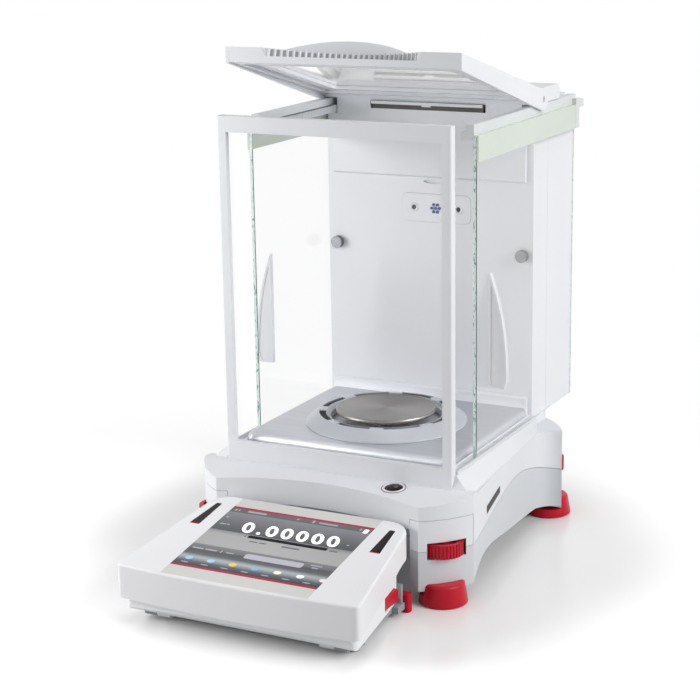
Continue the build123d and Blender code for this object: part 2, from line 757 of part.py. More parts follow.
# Side doors: pane, capping strip, toothed carrier rail and fin handle
door_front = -frame_front + frame_depth + 0.5 + door_open
pinion_y = wall_y + 17
module = rack_pitch / pi
pitch_radius = module * pinion_teeth / 2
pinion_x = ledge_inner + module - pitch_radius


def mirrored(part, side):
    """The right-hand piece as built, or its left-hand twin."""
    return part if side > 0 else part.mirror(Plane.YZ)


def make_door_glass(side):
    with BuildPart() as glass:
        with BuildSketch(Plane.YZ.offset(door_plane - pane / 2)):
            with Locations((behind(door_front), glass_bottom)):
                Rectangle(door_length, rail_bottom + 2.2 - glass_bottom, align=(Align.MIN, Align.MIN))
        extrude(amount=pane)
        chamfer(glass.edges().filter_by(Axis.Z), 0.4)
    return mirrored(glass.part, side)


def make_door_strip(side):
    face, back, top = strip_face, strip_face - strip_wall, rail_bottom + 2.2
    with BuildPart() as strip:
        with BuildSketch(Plane.XZ.offset(-behind(door_front))):
            Polygon((back, strip_bottom), (face, strip_bottom), (face, top + strip_wall),
                    (rail_outer, top + strip_wall), (rail_outer, top), (back, top), align=None)
        extrude(amount=-door_length)
    return mirrored(strip.part, side)


def make_door_carrier(side):
    glass_top = rail_bottom + 2.2
    with BuildPart() as carrier:
        with BuildSketch(Plane.XZ.offset(-behind(door_front))):
            Polygon((ledge_inner, rail_bottom), (door_plane - pane / 2 - 0.3, rail_bottom),
                    (door_plane - pane / 2 - 0.3, glass_top), (rail_outer, glass_top),
                    (rail_outer, rail_top), (rail_inner, rail_top),
                    (rail_inner, rail_bottom + ledge_height),
                    (ledge_inner, rail_bottom + ledge_height), align=None)
        extrude(amount=-rail_tail)
        with BuildSketch(Plane.XZ.offset(-behind(door_front + door_length + 0.3))):
            Polygon((rail_outer - 1, glass_top - 18), (strip_face, glass_top - 18),
                    (strip_face, rail_top - 3), (rail_outer - 1, rail_top - 3), align=None)
        extrude(amount=-(rail_tail - door_length - 0.3))
        with BuildSketch(Plane.XZ.offset(-behind(door_front + rail_tail - 1))):
            with Locations((rail_outer + 1.2, rail_bottom + 3.5)):
                Rectangle(4.2, 6)
        extrude(amount=-nub_reach - 1)
        first = int((door_front + 6 - pinion_y) / rack_pitch)
        count = int((rail_tail - rack_margin) / rack_pitch)
        with BuildSketch(Plane.XY.offset(rail_bottom - 1)):
            for step in range(first, first + count):
                with Locations((ledge_inner, behind(pinion_y + step * rack_pitch))):
                    Polygon((-1, -rack_pitch * 0.42), (2.25 * module, -rack_pitch * 0.14),
                            (2.25 * module, rack_pitch * 0.14), (-1, rack_pitch * 0.42), align=None)
        extrude(amount=ledge_height + 2, mode=Mode.SUBTRACT)
    return mirrored(carrier.part, side)


def make_handle(side):
    face = door_plane + pane / 2
    low, high, out = 139.0, 228.0, 14.0
    mid_y = behind(-14)
    with BuildPart() as handle:
        with BuildSketch(Plane.XZ.offset(-(mid_y - 2.3))) as fin:
            with BuildLine():
                Polyline((face, high), (face, low), (face + out - 2, low))
                RadiusArc((face + out - 2, low), (face + out, low + 2), -2)
                Spline((face + out, low + 2), (face + out * 0.93, low + 30), (face + out * 0.55, low + 63),
                       (face + 0.8, high))
                Line((face + 0.8, high), (face, high))
            make_face()
        extrude(amount=-4.6)
        with BuildSketch(Plane.XZ.offset(-(mid_y - 2.4))):
            with BuildLine():
                Polyline((face + 1.4, high - 20), (face + 1.4, low + 2.2), (face + out - 2.4, low + 2.2))
                Spline((face + out - 2.4, low + 2.2), (face + out * 0.93 - 2.4, low + 29),
                       (face + out * 0.55 - 1.8, low + 58), (face + 1.4, high - 20))
            make_face()
        extrude(amount=-1.0, mode=Mode.SUBTRACT)
        with BuildSketch(Plane.YZ.offset(face)):
            with Locations((mid_y, low)):
                Rectangle(15, 75, align=(Align.CENTER, Align.MIN))
        extrude(amount=0.8)
    return mirrored(handle.part, side)


def make_pinion(side):
    centre = (pinion_x, behind(pinion_y))
    with BuildPart() as pinion:
        with BuildSketch(Plane.XY.offset(rail_bottom + 0.4)):
            with Locations(centre):
                Circle(pitch_radius - 1.25 * module)
                with PolarLocations(0, pinion_teeth):
                    Polygon((pitch_radius - 1.4 * module, -0.28 * rack_pitch),
                            (pitch_radius + 0.8 * module, -0.08 * rack_pitch),
                            (pitch_radius + 0.8 * module, 0.08 * rack_pitch),
                            (pitch_radius - 1.4 * module, 0.28 * rack_pitch), align=None)
        extrude(amount=ledge_height - 0.8)
        with BuildSketch(Plane.XY.offset(rail_bottom - 16)):
            with Locations(centre):
                Circle(shaft_radius)
        extrude(amount=17)
    return mirrored(pinion.part, side)


with BuildPart() as door_motors:
    plate_top = rebate_z - tower_wall
    for side in (-1, 1):
        with BuildSketch(Plane.XY.offset(plate_top - 40)):
            with Locations((side * pinion_x, behind(pinion_y))):
                Circle(10)
        extrude(amount=38)
        with BuildSketch(Plane.XY.offset(plate_top - 2)):
            with Locations((side * (pinion_x + 1), behind(pinion_y))):
                RectangleRounded(22, 24, 3)
        extrude(amount=2)
        with BuildSketch(Plane.XY.offset(rail_bottom - 17)):
            with Locations((side * pinion_x, behind(pinion_y))):
                Circle(shaft_radius + running_fit)
        extrude(amount=20, mode=Mode.SUBTRACT)
finish(door_motors.part, "door_motors")

for side_name, side in (("left", -1), ("right", 1)):
    finish(make_thumb_screw(side), f"{side_name}_thumb_screw")
    finish(make_door_glass(side), f"{side_name}_door_glass")
    finish(make_door_strip(side), f"{side_name}_door_strip")
    finish(make_door_carrier(side), f"{side_name}_door_carrier")
    finish(make_handle(side), f"{side_name}_door_handle")
    finish(make_pinion(side), f"{side_name}_door_pinion")


# Lid, built open at its resting angle on planes through the hinge axis
lid_angle = radians(lid_open)
lid_forward = Vector(0, -cos(lid_angle), sin(lid_angle))
lid_up = Vector(0, sin(lid_angle), cos(lid_angle))
lid_axis = Vector(0, behind(hinge_y), hinge_z)
window_half = 76.0
window_near = 24.0
window_far = 138.0
grip_half = 65.0
grip_depth = 18.0
grip_floor = 1.0
grip_radius = (grip_half**2 + grip_depth**2) / (2 * grip_depth)
grip_centre = lid_reach + grip_radius - grip_depth
grip_ribs = 28
arch_width = 12.0
arch_rise = 9.0
arch_sphere = 150.0
ear_radius = 9.0


def lid_side(x):
    """Plane of a lid section: local x runs forward, local y up, and it faces left."""
    return Plane(origin=lid_axis + Vector(x, 0, 0), x_dir=lid_forward, z_dir=(-1, 0, 0))


def lid_level(height):
    """Plane along the lid: local x runs to the right, local y to the back."""
    return Plane(origin=lid_axis + lid_up * height, x_dir=(1, 0, 0), z_dir=lid_up)


with BuildPart() as grip_arch:
    with BuildSketch(lid_level(lid_top - 1)):
        with Locations((0, -grip_centre)):
            Circle(grip_radius + arch_width)
            Circle(grip_radius, mode=Mode.SUBTRACT)
        with Locations((0, -lid_reach + 14)):
            Rectangle(2 * grip_half - 10, 30, mode=Mode.INTERSECT)
    extrude(amount=arch_rise + 2)
    with Locations(lid_axis + lid_forward * (lid_reach - 20) + lid_up * (lid_top + arch_rise - arch_sphere)):
        Sphere(arch_sphere, mode=Mode.INTERSECT)

with BuildPart() as lid_frame:
    inner_half = lid_half - lid_side_wall
    with BuildSketch(lid_side(inner_half)):
        Polygon((lid_rear_gap, -3.9), (lid_reach - 3, -3.9), (lid_reach, lid_top),
                (lid_rear_gap, lid_top), align=None)
    extrude(amount=2 * inner_half)
    with BuildSketch(lid_side(lid_half), lid_side(-inner_half)):
        Circle(ear_radius)
        Polygon((0, -ear_radius), (lid_reach - 3, lid_front_bottom), (lid_reach, lid_top),
                (0, lid_top), align=None)
        with Locations((0, lid_top + 5)):
            Rectangle(30, 10, mode=Mode.SUBTRACT)
        Circle(2.5 + running_fit, mode=Mode.SUBTRACT)
    extrude(amount=lid_side_wall)
    with BuildSketch(lid_level(-8)):
        with Locations((0, -(window_near + window_far) / 2)):
            RectangleRounded(2 * window_half, window_far - window_near, 4)
    extrude(amount=30, mode=Mode.SUBTRACT)
    with BuildSketch(lid_level(grip_floor)):
        with Locations((0, -(window_near + window_far) / 2)):
            Rectangle(2 * window_half + 8, window_far - window_near + 8)
    extrude(amount=pane + 0.2, mode=Mode.SUBTRACT)
    with BuildSketch(lid_level(-8)):
        with Locations((0, -(lid_rear_gap + 6 + lid_reach - 12) / 2)):
            Rectangle(2 * inner_half - 12, lid_reach - lid_rear_gap - 18)
    extrude(amount=8 - 1.6, mode=Mode.SUBTRACT)
    with BuildSketch(lid_level(grip_floor)):
        with Locations((0, -grip_centre)):
            Circle(grip_radius)
    extrude(amount=20, mode=Mode.SUBTRACT)
    add(grip_arch.part)
    with BuildSketch(lid_level(grip_floor)):
        half_turn = degrees(asin((grip_half - 5) / grip_radius))
        for step in range(grip_ribs):
            turn = radians(half_turn * (2 * step / (grip_ribs - 1) - 1))
            with Locations((grip_radius * sin(turn), grip_radius * cos(turn) - grip_centre)):
                Circle(0.95)
    extrude(amount=lid_top - grip_floor)
finish(lid_frame.part, "lid_frame")

with BuildPart() as lid_glass:
    with BuildSketch(lid_level(grip_floor + 0.1)):
        with Locations((0, -(window_near + window_far) / 2)):
            Rectangle(2 * window_half + 7.4, window_far - window_near + 7.4)
    extrude(amount=pane)
finish(lid_glass.part, "lid_glass")

# Terminal: sloped upper shell over a smaller lower shell
front_y = behind(-pan_to_front)
slope = tan(radians(terminal_tilt))
terminal_plane = Plane(origin=(terminal_x, front_y, terminal_front_top), x_dir=(1, 0, 0),
                       z_dir=(0, -sin(radians(terminal_tilt)), cos(radians(terminal_tilt))))


def terminal_outline(inset):
    """The terminal seen from above: bowed front, tapering sides, rounded rear corners."""
    front, rear = terminal_front_half - inset, terminal_rear_half - inset
    corner_y = front_y + terminal_bow + inset
    rear_y = front_y + terminal_length - inset
    with BuildSketch() as outline:
        with BuildLine():
            ThreePointArc((terminal_x - front, corner_y), (terminal_x, front_y + inset),
                          (terminal_x + front, corner_y))
            Polyline((terminal_x + front, corner_y), (terminal_x + rear, rear_y),
                     (terminal_x - rear, rear_y), (terminal_x - front, corner_y))
        make_face()
        fillet(outline.vertices().group_by(Axis.Y)[-1], rear_round - inset)
        fillet(outline.vertices().group_by(Axis.Y)[0], 4)
    return outline.sketch


def top_at(depth):
    """Height of the terminal's sloped top at a distance behind its front edge."""
    return terminal_front_top + depth * slope


def split_at(depth):
    """Height of the joint between the terminal's shells."""
    drop = terminal_depth + (split_drop_rear - terminal_depth) * depth / lower_reach
    return top_at(depth) - drop


def upper_block(inset, wall, floor, rear):
    """Body of the upper shell: below the sloped top by wall, above the joint by floor."""
    with BuildPart() as block:
        with BuildSketch(Plane.XY):
            add(terminal_outline(inset))
        extrude(amount=reach)
        with BuildSketch(Plane.YZ.offset(-reach)):
            Polygon((front_y - 5, top_at(-5) - wall), (front_y + rear, top_at(rear) - wall),
                    (front_y + rear, top_at(rear) - terminal_depth + floor),
                    (front_y + min(rear - 1, lower_reach), split_at(lower_reach) + floor),
                    (front_y - 5, split_at(-5) + floor), align=None)
        extrude(amount=2 * reach, mode=Mode.INTERSECT)
    return block.part


def lower_block(inset, wall, top_gap):
    with BuildPart() as block:
        with BuildSketch(Plane.XY):
            add(terminal_outline(lower_inset + inset))
        extrude(amount=reach)
        with BuildSketch(Plane.YZ.offset(-reach)):
            Polygon((front_y + 3 + inset, split_at(3) - top_gap), (front_y + 5.5 + inset, 12.6 + wall),
                    (front_y + 9 + inset, lower_bottom + wall),
                    (front_y + lower_reach - 7 - inset, lower_bottom + wall),
                    (front_y + lower_reach - inset, lower_bottom + 5 + wall),
                    (front_y + lower_reach - inset, split_at(lower_reach) - top_gap), align=None)
        extrude(amount=2 * reach, mode=Mode.INTERSECT)
    return block.part


def side_windows():
    """Outlines of the two tapering touchless-sensor windows beside the screen."""
    for side in (-1, 1):
        Polygon((side * 70.2, 74.5), (side * 78.6, 74.5), (side * 74.8, 109), (side * 70.2, 109), align=None)


with BuildPart() as terminal_upper:
    add(upper_block(0, 0, 0, terminal_length + 5))
    top_face = terminal_upper.faces().sort_by(SortBy.AREA)[-2:].sort_by(Axis.Z)[-1]
    fillet(top_face.edges(), 2.0)
    add(upper_block(terminal_wall, terminal_wall, terminal_flange, terminal_length + 5), mode=Mode.SUBTRACT)
    add(upper_block(lower_inset + terminal_wall + 2, terminal_wall, -terminal_flange * 2, lower_reach - 8),
        mode=Mode.SUBTRACT)
    with BuildSketch(terminal_plane.offset(-0.7)):
        with Locations((0, film_from)):
            Rectangle(2 * screen_half, film_to - film_from, align=(Align.CENTER, Align.MIN))
    extrude(amount=5, mode=Mode.SUBTRACT)
    with BuildSketch(terminal_plane.offset(-6)):
        with Locations((0, screen_from)):
            Rectangle(2 * screen_half, screen_to - screen_from, align=(Align.CENTER, Align.MIN))
    extrude(amount=8, mode=Mode.SUBTRACT)
    with BuildSketch(terminal_plane.offset(-0.8)):
        side_windows()
    extrude(amount=5, mode=Mode.SUBTRACT)
finish(terminal_upper.part, "terminal_upper_shell")

with BuildPart() as touch_panel:
    with BuildSketch(terminal_plane.offset(-0.7)):
        with Locations((0, film_from + 0.1)):
            Rectangle(2 * screen_half - 0.2, film_to - film_from - 0.2, align=(Align.CENTER, Align.MIN))
    extrude(amount=0.6)
    with BuildSketch(terminal_plane.offset(-3.0)):
        with Locations((0, screen_from + 0.1)):
            Rectangle(2 * screen_half - 0.2, screen_to - screen_from - 0.2, align=(Align.CENTER, Align.MIN))
    extrude(amount=2.9)
finish(touch_panel.part, "touch_panel")

with BuildPart() as sensor_windows:
    with BuildSketch(terminal_plane.offset(-0.8)):
        side_windows()
    extrude(amount=0.7)
finish(sensor_windows.part, "terminal_sensor_windows")

tab_from, tab_to, tab_low, tab_high = 72.0, 93.0, 12.2, 22.0
tab_inner, tab_outer, tab_travel = 72.4, 83.6, 2.2


def tilt_section(radius, low_x, high_x):
    """Round section about the tilt axis between two distances from the terminal's middle."""
    for side in (-1, 1):
        start = low_x if side > 0 else -high_x
        with BuildSketch(Plane.YZ.offset(terminal_x + start)) as section:
            with Locations((front_y + tilt_axis[0], tilt_axis[1])):
                Circle(radius)
        yield section.sketch


def arc_section(gap, start_angle, end_angle, low_x):
    """Toothless outline of one tilt quadrant, or of its slot with a gap all round."""
    centre = (front_y + tilt_axis[0], tilt_axis[1])
    with BuildSketch(Plane.YZ.offset(low_x)) as section:
        with BuildLine():
            outer = CenterArc(centre, arc_outer + gap, start_angle, end_angle - start_angle)
            inner = CenterArc(centre, arc_inner - gap, start_angle, end_angle - start_angle)
            Line(outer @ 0, inner @ 0)
            Line(outer @ 1, inner @ 1)
        make_face()
    return section.sketch


with BuildPart() as terminal_lower:
    add(lower_block(0, 0, 0))
    add(lower_block(terminal_wall, terminal_wall, -5), mode=Mode.SUBTRACT)
    for section in tilt_section(knuckle_radius, 60.4, 71.6):
        extrude(section, amount=11.2)
    for side in (-1, 1):
        with Locations((terminal_x + side * 66, front_y + tilt_axis[0], tilt_axis[1] + 2)):
            Box(11.2, 2 * knuckle_radius, 4)
        with Locations((terminal_x + side * (tab_inner + 10 - tab_travel - clear), front_y + (tab_from + tab_to) / 2,
                        (tab_low + tab_high) / 2)):
            Box(20, tab_to - tab_from + 2 * clear, tab_high - tab_low + 2 * clear, mode=Mode.SUBTRACT)
        slot_x = terminal_x + (arc_x[0] if side > 0 else -arc_x[1]) - 0.5
        extrude(arc_section(0.5, -10, 40, slot_x), amount=arc_x[1] - arc_x[0] + 1, mode=Mode.SUBTRACT)
    for section in tilt_section(tilt_pin_radius + running_fit, 50, 85):
        extrude(section, amount=35, mode=Mode.SUBTRACT)
finish(terminal_lower.part, "terminal_lower_shell")


def make_release_tab(side):
    with BuildPart() as tab:
        with Locations((terminal_x + side * (tab_inner + tab_outer) / 2,
                        front_y + (tab_from + tab_to) / 2, (tab_low + tab_high) / 2)):
            Box(tab_outer - tab_inner, tab_to - tab_from, tab_high - tab_low)
        chamfer(tab.edges().filter_by(Axis.Y).group_by(Axis.X)[0 if side < 0 else -1], 1.2)
    return tab.part


for side_name, side in (("left", -1), ("right", 1)):
    finish(make_release_tab(side), f"{side_name}_release_tab")

# Terminal stand: hinge studs in front, tilt quadrants behind, tongue to the base
with BuildPart() as stand:
    for section in tilt_section(knuckle_radius, 72, 82):
        extrude(section, amount=10)
    for section in tilt_section(tilt_pin_radius, 61, 73):
        extrude(section, amount=12)
    with BuildSketch(Plane.XY):
        for offset_x in (-80, 0, 80):
            with Locations((terminal_x + offset_x, front_y + 29)):
                Circle(4)
    extrude(amount=stand_low + 1)
    with BuildSketch(Plane.XY.offset(stand_low)):
        for side in (-1, 1):
            with Locations((terminal_x + side * 77, front_y + 22)):
                Rectangle(10, 8)
        with Locations((terminal_x, front_y + 29)):
            Rectangle(172, 10)
        for side in (-1, 1):
            with Locations((terminal_x + side * 70, front_y + 65)):
                Rectangle(18, 76)
        with Locations((0, (front_y + 26 + behind(tongue_end)) / 2)):
            Rectangle(2 * tongue_half, behind(tongue_end) - front_y - 26)
        with Locations((terminal_x, front_y + 97)):
            Rectangle(168, 11)
    extrude(amount=stand_high - stand_low)
    for side in (-1, 1):
        low_x = terminal_x + (arc_x[0] if side > 0 else -arc_x[1])
        extrude(arc_section(0, 0.5, 26, low_x), amount=arc_x[1] - arc_x[0])
    with BuildSketch(Plane.XY.offset(stand_high)):
        for side in (-1, 1):
            with Locations((terminal_x + side * 80, front_y + 101)):
                Rectangle(5, 3)
    extrude(amount=14)
finish(stand.part, "terminal_stand")

with BuildPart() as stand_pads:
    with BuildSketch(Plane.XY):
        for side in (-1, 1):
            with Locations((terminal_x + side * 81, front_y + 106.5)):
                RectangleRounded(12, 7, 2)
    extrude(amount=14)
finish(stand_pads.part, "stand_rear_pads")

with BuildPart() as docking_bracket:
    with BuildSketch(Plane.XZ.offset(-behind(-92))):
        Polygon((-tongue_half - 4, 1.4), (tongue_half + 4, 1.4), (tongue_half + 4, underside),
                (-tongue_half - 4, underside), align=None)
        Polygon((-tongue_half - clear, stand_low - clear), (tongue_half + clear, stand_low - clear),
                (tongue_half + clear, stand_high + clear), (-tongue_half - clear, stand_high + clear),
                align=None, mode=Mode.SUBTRACT)
        Polygon((-tongue_half + 2, stand_high + 3.4), (tongue_half - 2, stand_high + 3.4),
                (tongue_half - 2, underside - 3), (-tongue_half + 2, underside - 3),
                align=None, mode=Mode.SUBTRACT)
    extrude(amount=-36)
finish(docking_bracket.part, "docking_bracket")

# Base fittings: touchless sensor windows, fasteners and the weigh-below cover
finish(side_window_bars(0), "side_sensor_windows")

hook_pivot_x = 17.0
rivet_radius = 2.0
with BuildPart() as base_fasteners:
    with BuildSketch(Plane.XY.offset(underside - 2)):
        with Locations((0, behind(12))):
            with GridLocations(140, 150, 2, 2):
                Circle(underside_screw)
    extrude(amount=2)
    with BuildSketch(Plane.XY.offset(underside - 3.8)):
        with Locations((hook_pivot_x, behind(0))):
            Circle(rivet_radius + 1.6)
    extrude(amount=1.4)
    with BuildSketch(Plane.XY.offset(underside - 3.8)):
        with Locations((hook_pivot_x, behind(0))):
            Circle(rivet_radius)
    extrude(amount=3.8)
finish(base_fasteners.part, "base_fasteners")

with BuildPart() as weigh_below_cover:
    with BuildSketch(Plane.XY.offset(underside - 2.2)):
        with Locations((0, behind(0))):
            Circle(12)
        with Locations((hook_pivot_x, behind(0))):
            Circle(rivet_radius + 3)
        with Locations((hook_pivot_x / 2, behind(0))):
            Rectangle(hook_pivot_x, 8)
        with Locations((hook_pivot_x, behind(0))):
            Circle(rivet_radius + running_fit, mode=Mode.SUBTRACT)
    extrude(amount=2)
finish(weigh_below_cover.part, "weigh_below_cover")

# Weighing cell and the calibration weight on its lifting fork
tray_floor = rear_split + floor_wall
beam_length, beam_width, beam_height = 100.0, 44.0, 24.0
with BuildPart() as load_cell:
    with BuildSketch(Plane.YZ.offset(-beam_width / 2)):
        with Locations((behind(14), tray_floor + beam_height / 2)):
            Rectangle(beam_length, beam_height)
            with Locations((0, 7), (0, -7)):
                SlotOverall(72, 1.6, mode=Mode.SUBTRACT)
            with Locations((-36, 7), (36, 7), (-36, -7), (36, -7)):
                Circle(2.6, mode=Mode.SUBTRACT)
            SlotOverall(60, 7, mode=Mode.SUBTRACT)
    extrude(amount=beam_width)
    with BuildSketch(Plane(origin=(0, behind(0), 0), x_dir=(1, 0, 0), z_dir=(0, -1, 0))):
        Polygon((0, tray_floor + beam_height - 1), (9, tray_floor + beam_height - 1),
                (8, stem_foot - 0.3), (0, stem_foot - 0.3), align=None)
    revolve(axis=Axis((0, behind(0), 0), (0, 0, 1)))
finish(load_cell.part, "load_cell")

lift_x, lift_y, rod_radius, fork_z = 66.0, 20.0, 2.0, tray_floor + 11.5
with BuildPart() as calibration_motor:
    with BuildSketch(Plane.XY.offset(tray_floor)):
        with Locations((lift_x, behind(lift_y))):
            RectangleRounded(22, 22, 4)
    extrude(amount=11)
    with BuildSketch(Plane.XY.offset(tray_floor + 2)):
        with Locations((lift_x, behind(lift_y))):
            Circle(rod_radius + running_fit)
    extrude(amount=10, mode=Mode.SUBTRACT)
finish(calibration_motor.part, "calibration_motor")
with BuildPart() as calibration_fork:
    with BuildSketch(Plane.XY.offset(fork_z)):
        with Locations((lift_x, behind(lift_y))):
            Circle(6)
        with Locations((lift_x - 14, behind(lift_y))):
            Rectangle(28, 8)
        with Locations((lift_x - 30, behind(lift_y))):
            Circle(9)
    extrude(amount=2.5)
    with BuildSketch(Plane.XY.offset(fork_z - 8)):
        with Locations((lift_x, behind(lift_y))):
            Circle(rod_radius)
    extrude(amount=9)
finish(calibration_fork.part, "calibration_fork")
with BuildPart() as calibration_weight:
    with BuildSketch(Plane.XY.offset(fork_z + 2.5)):
        with Locations((lift_x - 30, behind(lift_y))):
            Circle(8)
    extrude(amount=5)
    chamfer(calibration_weight.edges().group_by(Axis.Z)[-1], 0.8)
finish(calibration_weight.part, "calibration_weight")

# Main board on four posts, with its sockets reaching through the rear wall
board_front, board_rear, board_half = -55.0, 108.0, 75.0
with BuildPart() as main_board:
    with BuildSketch(Plane.XY.offset(board_top - 1.6)):
        with Locations((0, behind((board_front + board_rear) / 2))):
            Rectangle(2 * board_half, board_rear - board_front)
    extrude(amount=1.6)
    with BuildSketch(Plane.XY.offset(underside + floor_wall)):
        with Locations((0, behind((board_front + board_rear) / 2))):
            with GridLocations(2 * board_half - 14, board_rear - board_front - 14, 2, 2):
                Circle(3)
    extrude(amount=2)
    with BuildSketch(Plane.XY.offset(board_top)):
        with Locations((-40, behind(0)), (10, behind(35)), (45, behind(-20))):
            Rectangle(20, 20)
        with Locations((-55, behind(45)), (-40, behind(45)), (55, behind(50))):
            Circle(5)
    extrude(amount=5)
    for x, width, height in socket_sizes:
        socket_rear = block_tip - 0.6
        with BuildSketch(Plane.XZ.offset(-behind(board_rear - 6))):
            with Locations((x, board_top + height / 2)):
                Rectangle(width, height)
        extrude(amount=-(socket_rear - board_rear + 6))
        with BuildSketch(Plane.XZ.offset(-behind(socket_rear - 7))):
            with Locations((x, board_top + height / 2)):
                Rectangle(width - 2.4, height - 2.4)
        extrude(amount=-8, mode=Mode.SUBTRACT)
finish(main_board.part, "main_board")
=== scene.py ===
"""Looks for a semi-micro analytical balance: finishes, display picture, level bubble and stage."""
import math

import bmesh
import bpy
from bpy.props import FloatProperty, FloatVectorProperty, IntProperty, PointerProperty
from mathutils import Matrix, Vector


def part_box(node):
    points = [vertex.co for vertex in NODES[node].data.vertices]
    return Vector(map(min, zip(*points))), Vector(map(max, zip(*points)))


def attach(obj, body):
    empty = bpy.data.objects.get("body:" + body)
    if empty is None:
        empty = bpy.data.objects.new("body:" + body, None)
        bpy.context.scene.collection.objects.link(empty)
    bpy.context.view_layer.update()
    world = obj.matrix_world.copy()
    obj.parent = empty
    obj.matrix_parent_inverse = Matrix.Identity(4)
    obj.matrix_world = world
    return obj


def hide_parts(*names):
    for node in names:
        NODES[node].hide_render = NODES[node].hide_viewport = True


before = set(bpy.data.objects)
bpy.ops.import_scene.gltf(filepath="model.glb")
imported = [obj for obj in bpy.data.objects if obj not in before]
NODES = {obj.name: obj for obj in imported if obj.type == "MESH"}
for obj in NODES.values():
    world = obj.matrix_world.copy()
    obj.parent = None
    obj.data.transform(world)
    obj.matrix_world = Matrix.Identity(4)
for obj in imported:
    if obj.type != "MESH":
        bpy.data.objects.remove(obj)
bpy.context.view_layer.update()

bl_info = {
    "name": "Analytical Balance Looks",
    "version": (1, 0, 0),
    "blender": (4, 5, 0),
    "location": "View3D > Sidebar > Balance",
    "description": "Finishes and small fitted pieces for a laboratory balance",
    "category": "Object",
}

MM = 0.001

# Camera solved from the photo: place, then azimuth, elevation and roll in degrees
CAMERA_PLACE = Vector((604.4, -1206.6, 508.6)) * MM
CAMERA_ANGLES = (27.22, 14.38, -0.96)
SENSOR_WIDTH = 36.0
# Lamps: name, place and size in metres, power in watts; all look at one point on the base
LAMPS = (("left", (-0.60, -0.45, 0.30), 0.45, 3.8), ("top", (0.25, 0.35, 1.75), 1.3, 6.0),
         ("right", (1.5, -0.10, 0.85), 0.9, 18.0))
LAMP_AIM = Vector((0, 0, 0.15))
# Sections turned round an axis: radius and height in millimetres
PAN_SECTION = ((6.0, 105.2), (37.5, 105.2), (39.3, 105.9), (40.0, 107.0), (40.0, 108.0), (39.6, 108.7),
               (38.8, 109.0), (38.0, 108.8), (37.0, 108.5), (2.0, 108.5))
RING_SECTION = ((61.5, 97.7), (64.0, 97.7), (64.0, 98.9), (62.6, 99.9), (55.2, 105.6), (54.2, 106.1),
                (53.2, 106.3), (48.6, 106.3), (47.6, 105.9), (47.0, 104.6), (46.4, 103.9), (44.6, 103.7),
                (43.9, 103.2), (43.6, 102.2), (43.6, 99.0), (44.8, 99.0), (45.0, 102.6), (46.4, 102.9),
                (47.4, 105.4), (53.4, 105.4), (60.2, 98.9))
RING_SHADE_SECTION = ((47.6, 103.9), (53.6, 103.9), (53.6, 104.2), (47.6, 104.2))
COLLAR_SECTION = ((2.0, -1.0), (3.7, -1.0), (3.5, 0.7), (2.9, 1.1), (2.2, 0.9), (2.0, 0.2))
BORE_SHADE_SECTION = ((1.95, -1.0), (1.95, -0.1), (1.0, -0.3))
GUIDE_SECTION = ((1.15, -0.6), (1.15, 0.15), (0.9, 0.32))
LEVEL_COLLAR_SECTION = ((6.9, -3.0), (8.2, -3.0), (8.6, 0.1), (8.3, 0.6), (7.3, 0.6), (6.9, 0.0))
LEVEL_DOME_SECTION = ((6.9, -3.2), (6.9, -0.1), (5.6, 0.35), (3.0, 0.6), (0.6, 0.66))
LEVEL_LINE_SECTION = ((8.9, -0.3), (9.35, -0.3), (9.35, 0.08), (8.9, 0.08))
SCREW_SECTION = ((0.9, 0.9), (1.1, 1.6), (2.6, 1.4), (3.1, 0.6), (3.1, 0.0))
# The ioniser's light guides: distance from the middle one, and how far the group stands left
GUIDE_PITCH, GUIDE_LEFT = 3.4 * MM, 0.8 * MM
# The deck slopes down to the front where the level indicator sits
LEVEL_SLOPE = math.radians(7.0)
# Flat marks on the display: piece, colour, then (left, right, bottom, top) in millimetres each
DISPLAY_MARKS = (
    ("reading_bar", "black", ((-24.8, 40.0, 66.7, 70.6),)),
    ("entry_field", "grey", ((-12.7, 34.4, 38.9, 45.6),)),
    ("header_marks", "dim", ((-55.5, -53.6, 101.8, 104.4), (-52.4, -51.2, 101.8, 104.4),
                             (-44.5, -28.5, 102.0, 104.4), (-3.0, -1.2, 102.4, 104.6),
                             (10.0, 12.0, 101.6, 105.4), (15.5, 31.0, 102.2, 104.2),
                             (49.0, 50.6, 101.5, 104.5))),
    ("key_icon", "white", ((52.6, 56.4, 98.6, 104.6),)),
    ("side_marks", "dim", ((-56.0, -54.2, 90.3, 92.3), (-55.6, -50.6, 80.0, 81.6),
                           (-49.8, -47.6, 80.0, 81.6), (50.6, 52.2, 78.0, 79.8))),
    ("band_marks", "soft", ((-20.4, -13.6, 61.6, 63.2), (-12.2, -6.4, 61.6, 63.2),
                            (6.2, 20.8, 61.4, 63.4), (42.2, 48.6, 66.5, 68.6),
                            (-27.6, -26.4, 67.4, 69.6))),
    ("row_marks", "dim", ((-56.0, -47.0, 41.4, 43.2), (-45.4, -35.6, 41.4, 43.2),
                          (-32.6, -31.6, 40.6, 44.0), (-28.0, -21.8, 41.6, 43.0),
                          (39.2, 48.4, 44.2, 45.6), (41.4, 46.4, 41.0, 42.6))),
)


def linear(colour):
    """An sRGB hex colour as the linear RGBA that Blender's sockets take; RGBA stays as it is."""
    if not isinstance(colour, str):
        return tuple(colour)
    parts = [int(colour[i:i + 2], 16) / 255 for i in (1, 3, 5)]
    return (*(c / 12.92 if c <= 0.04045 else ((c + 0.055) / 1.055) ** 2.4 for c in parts), 1.0)


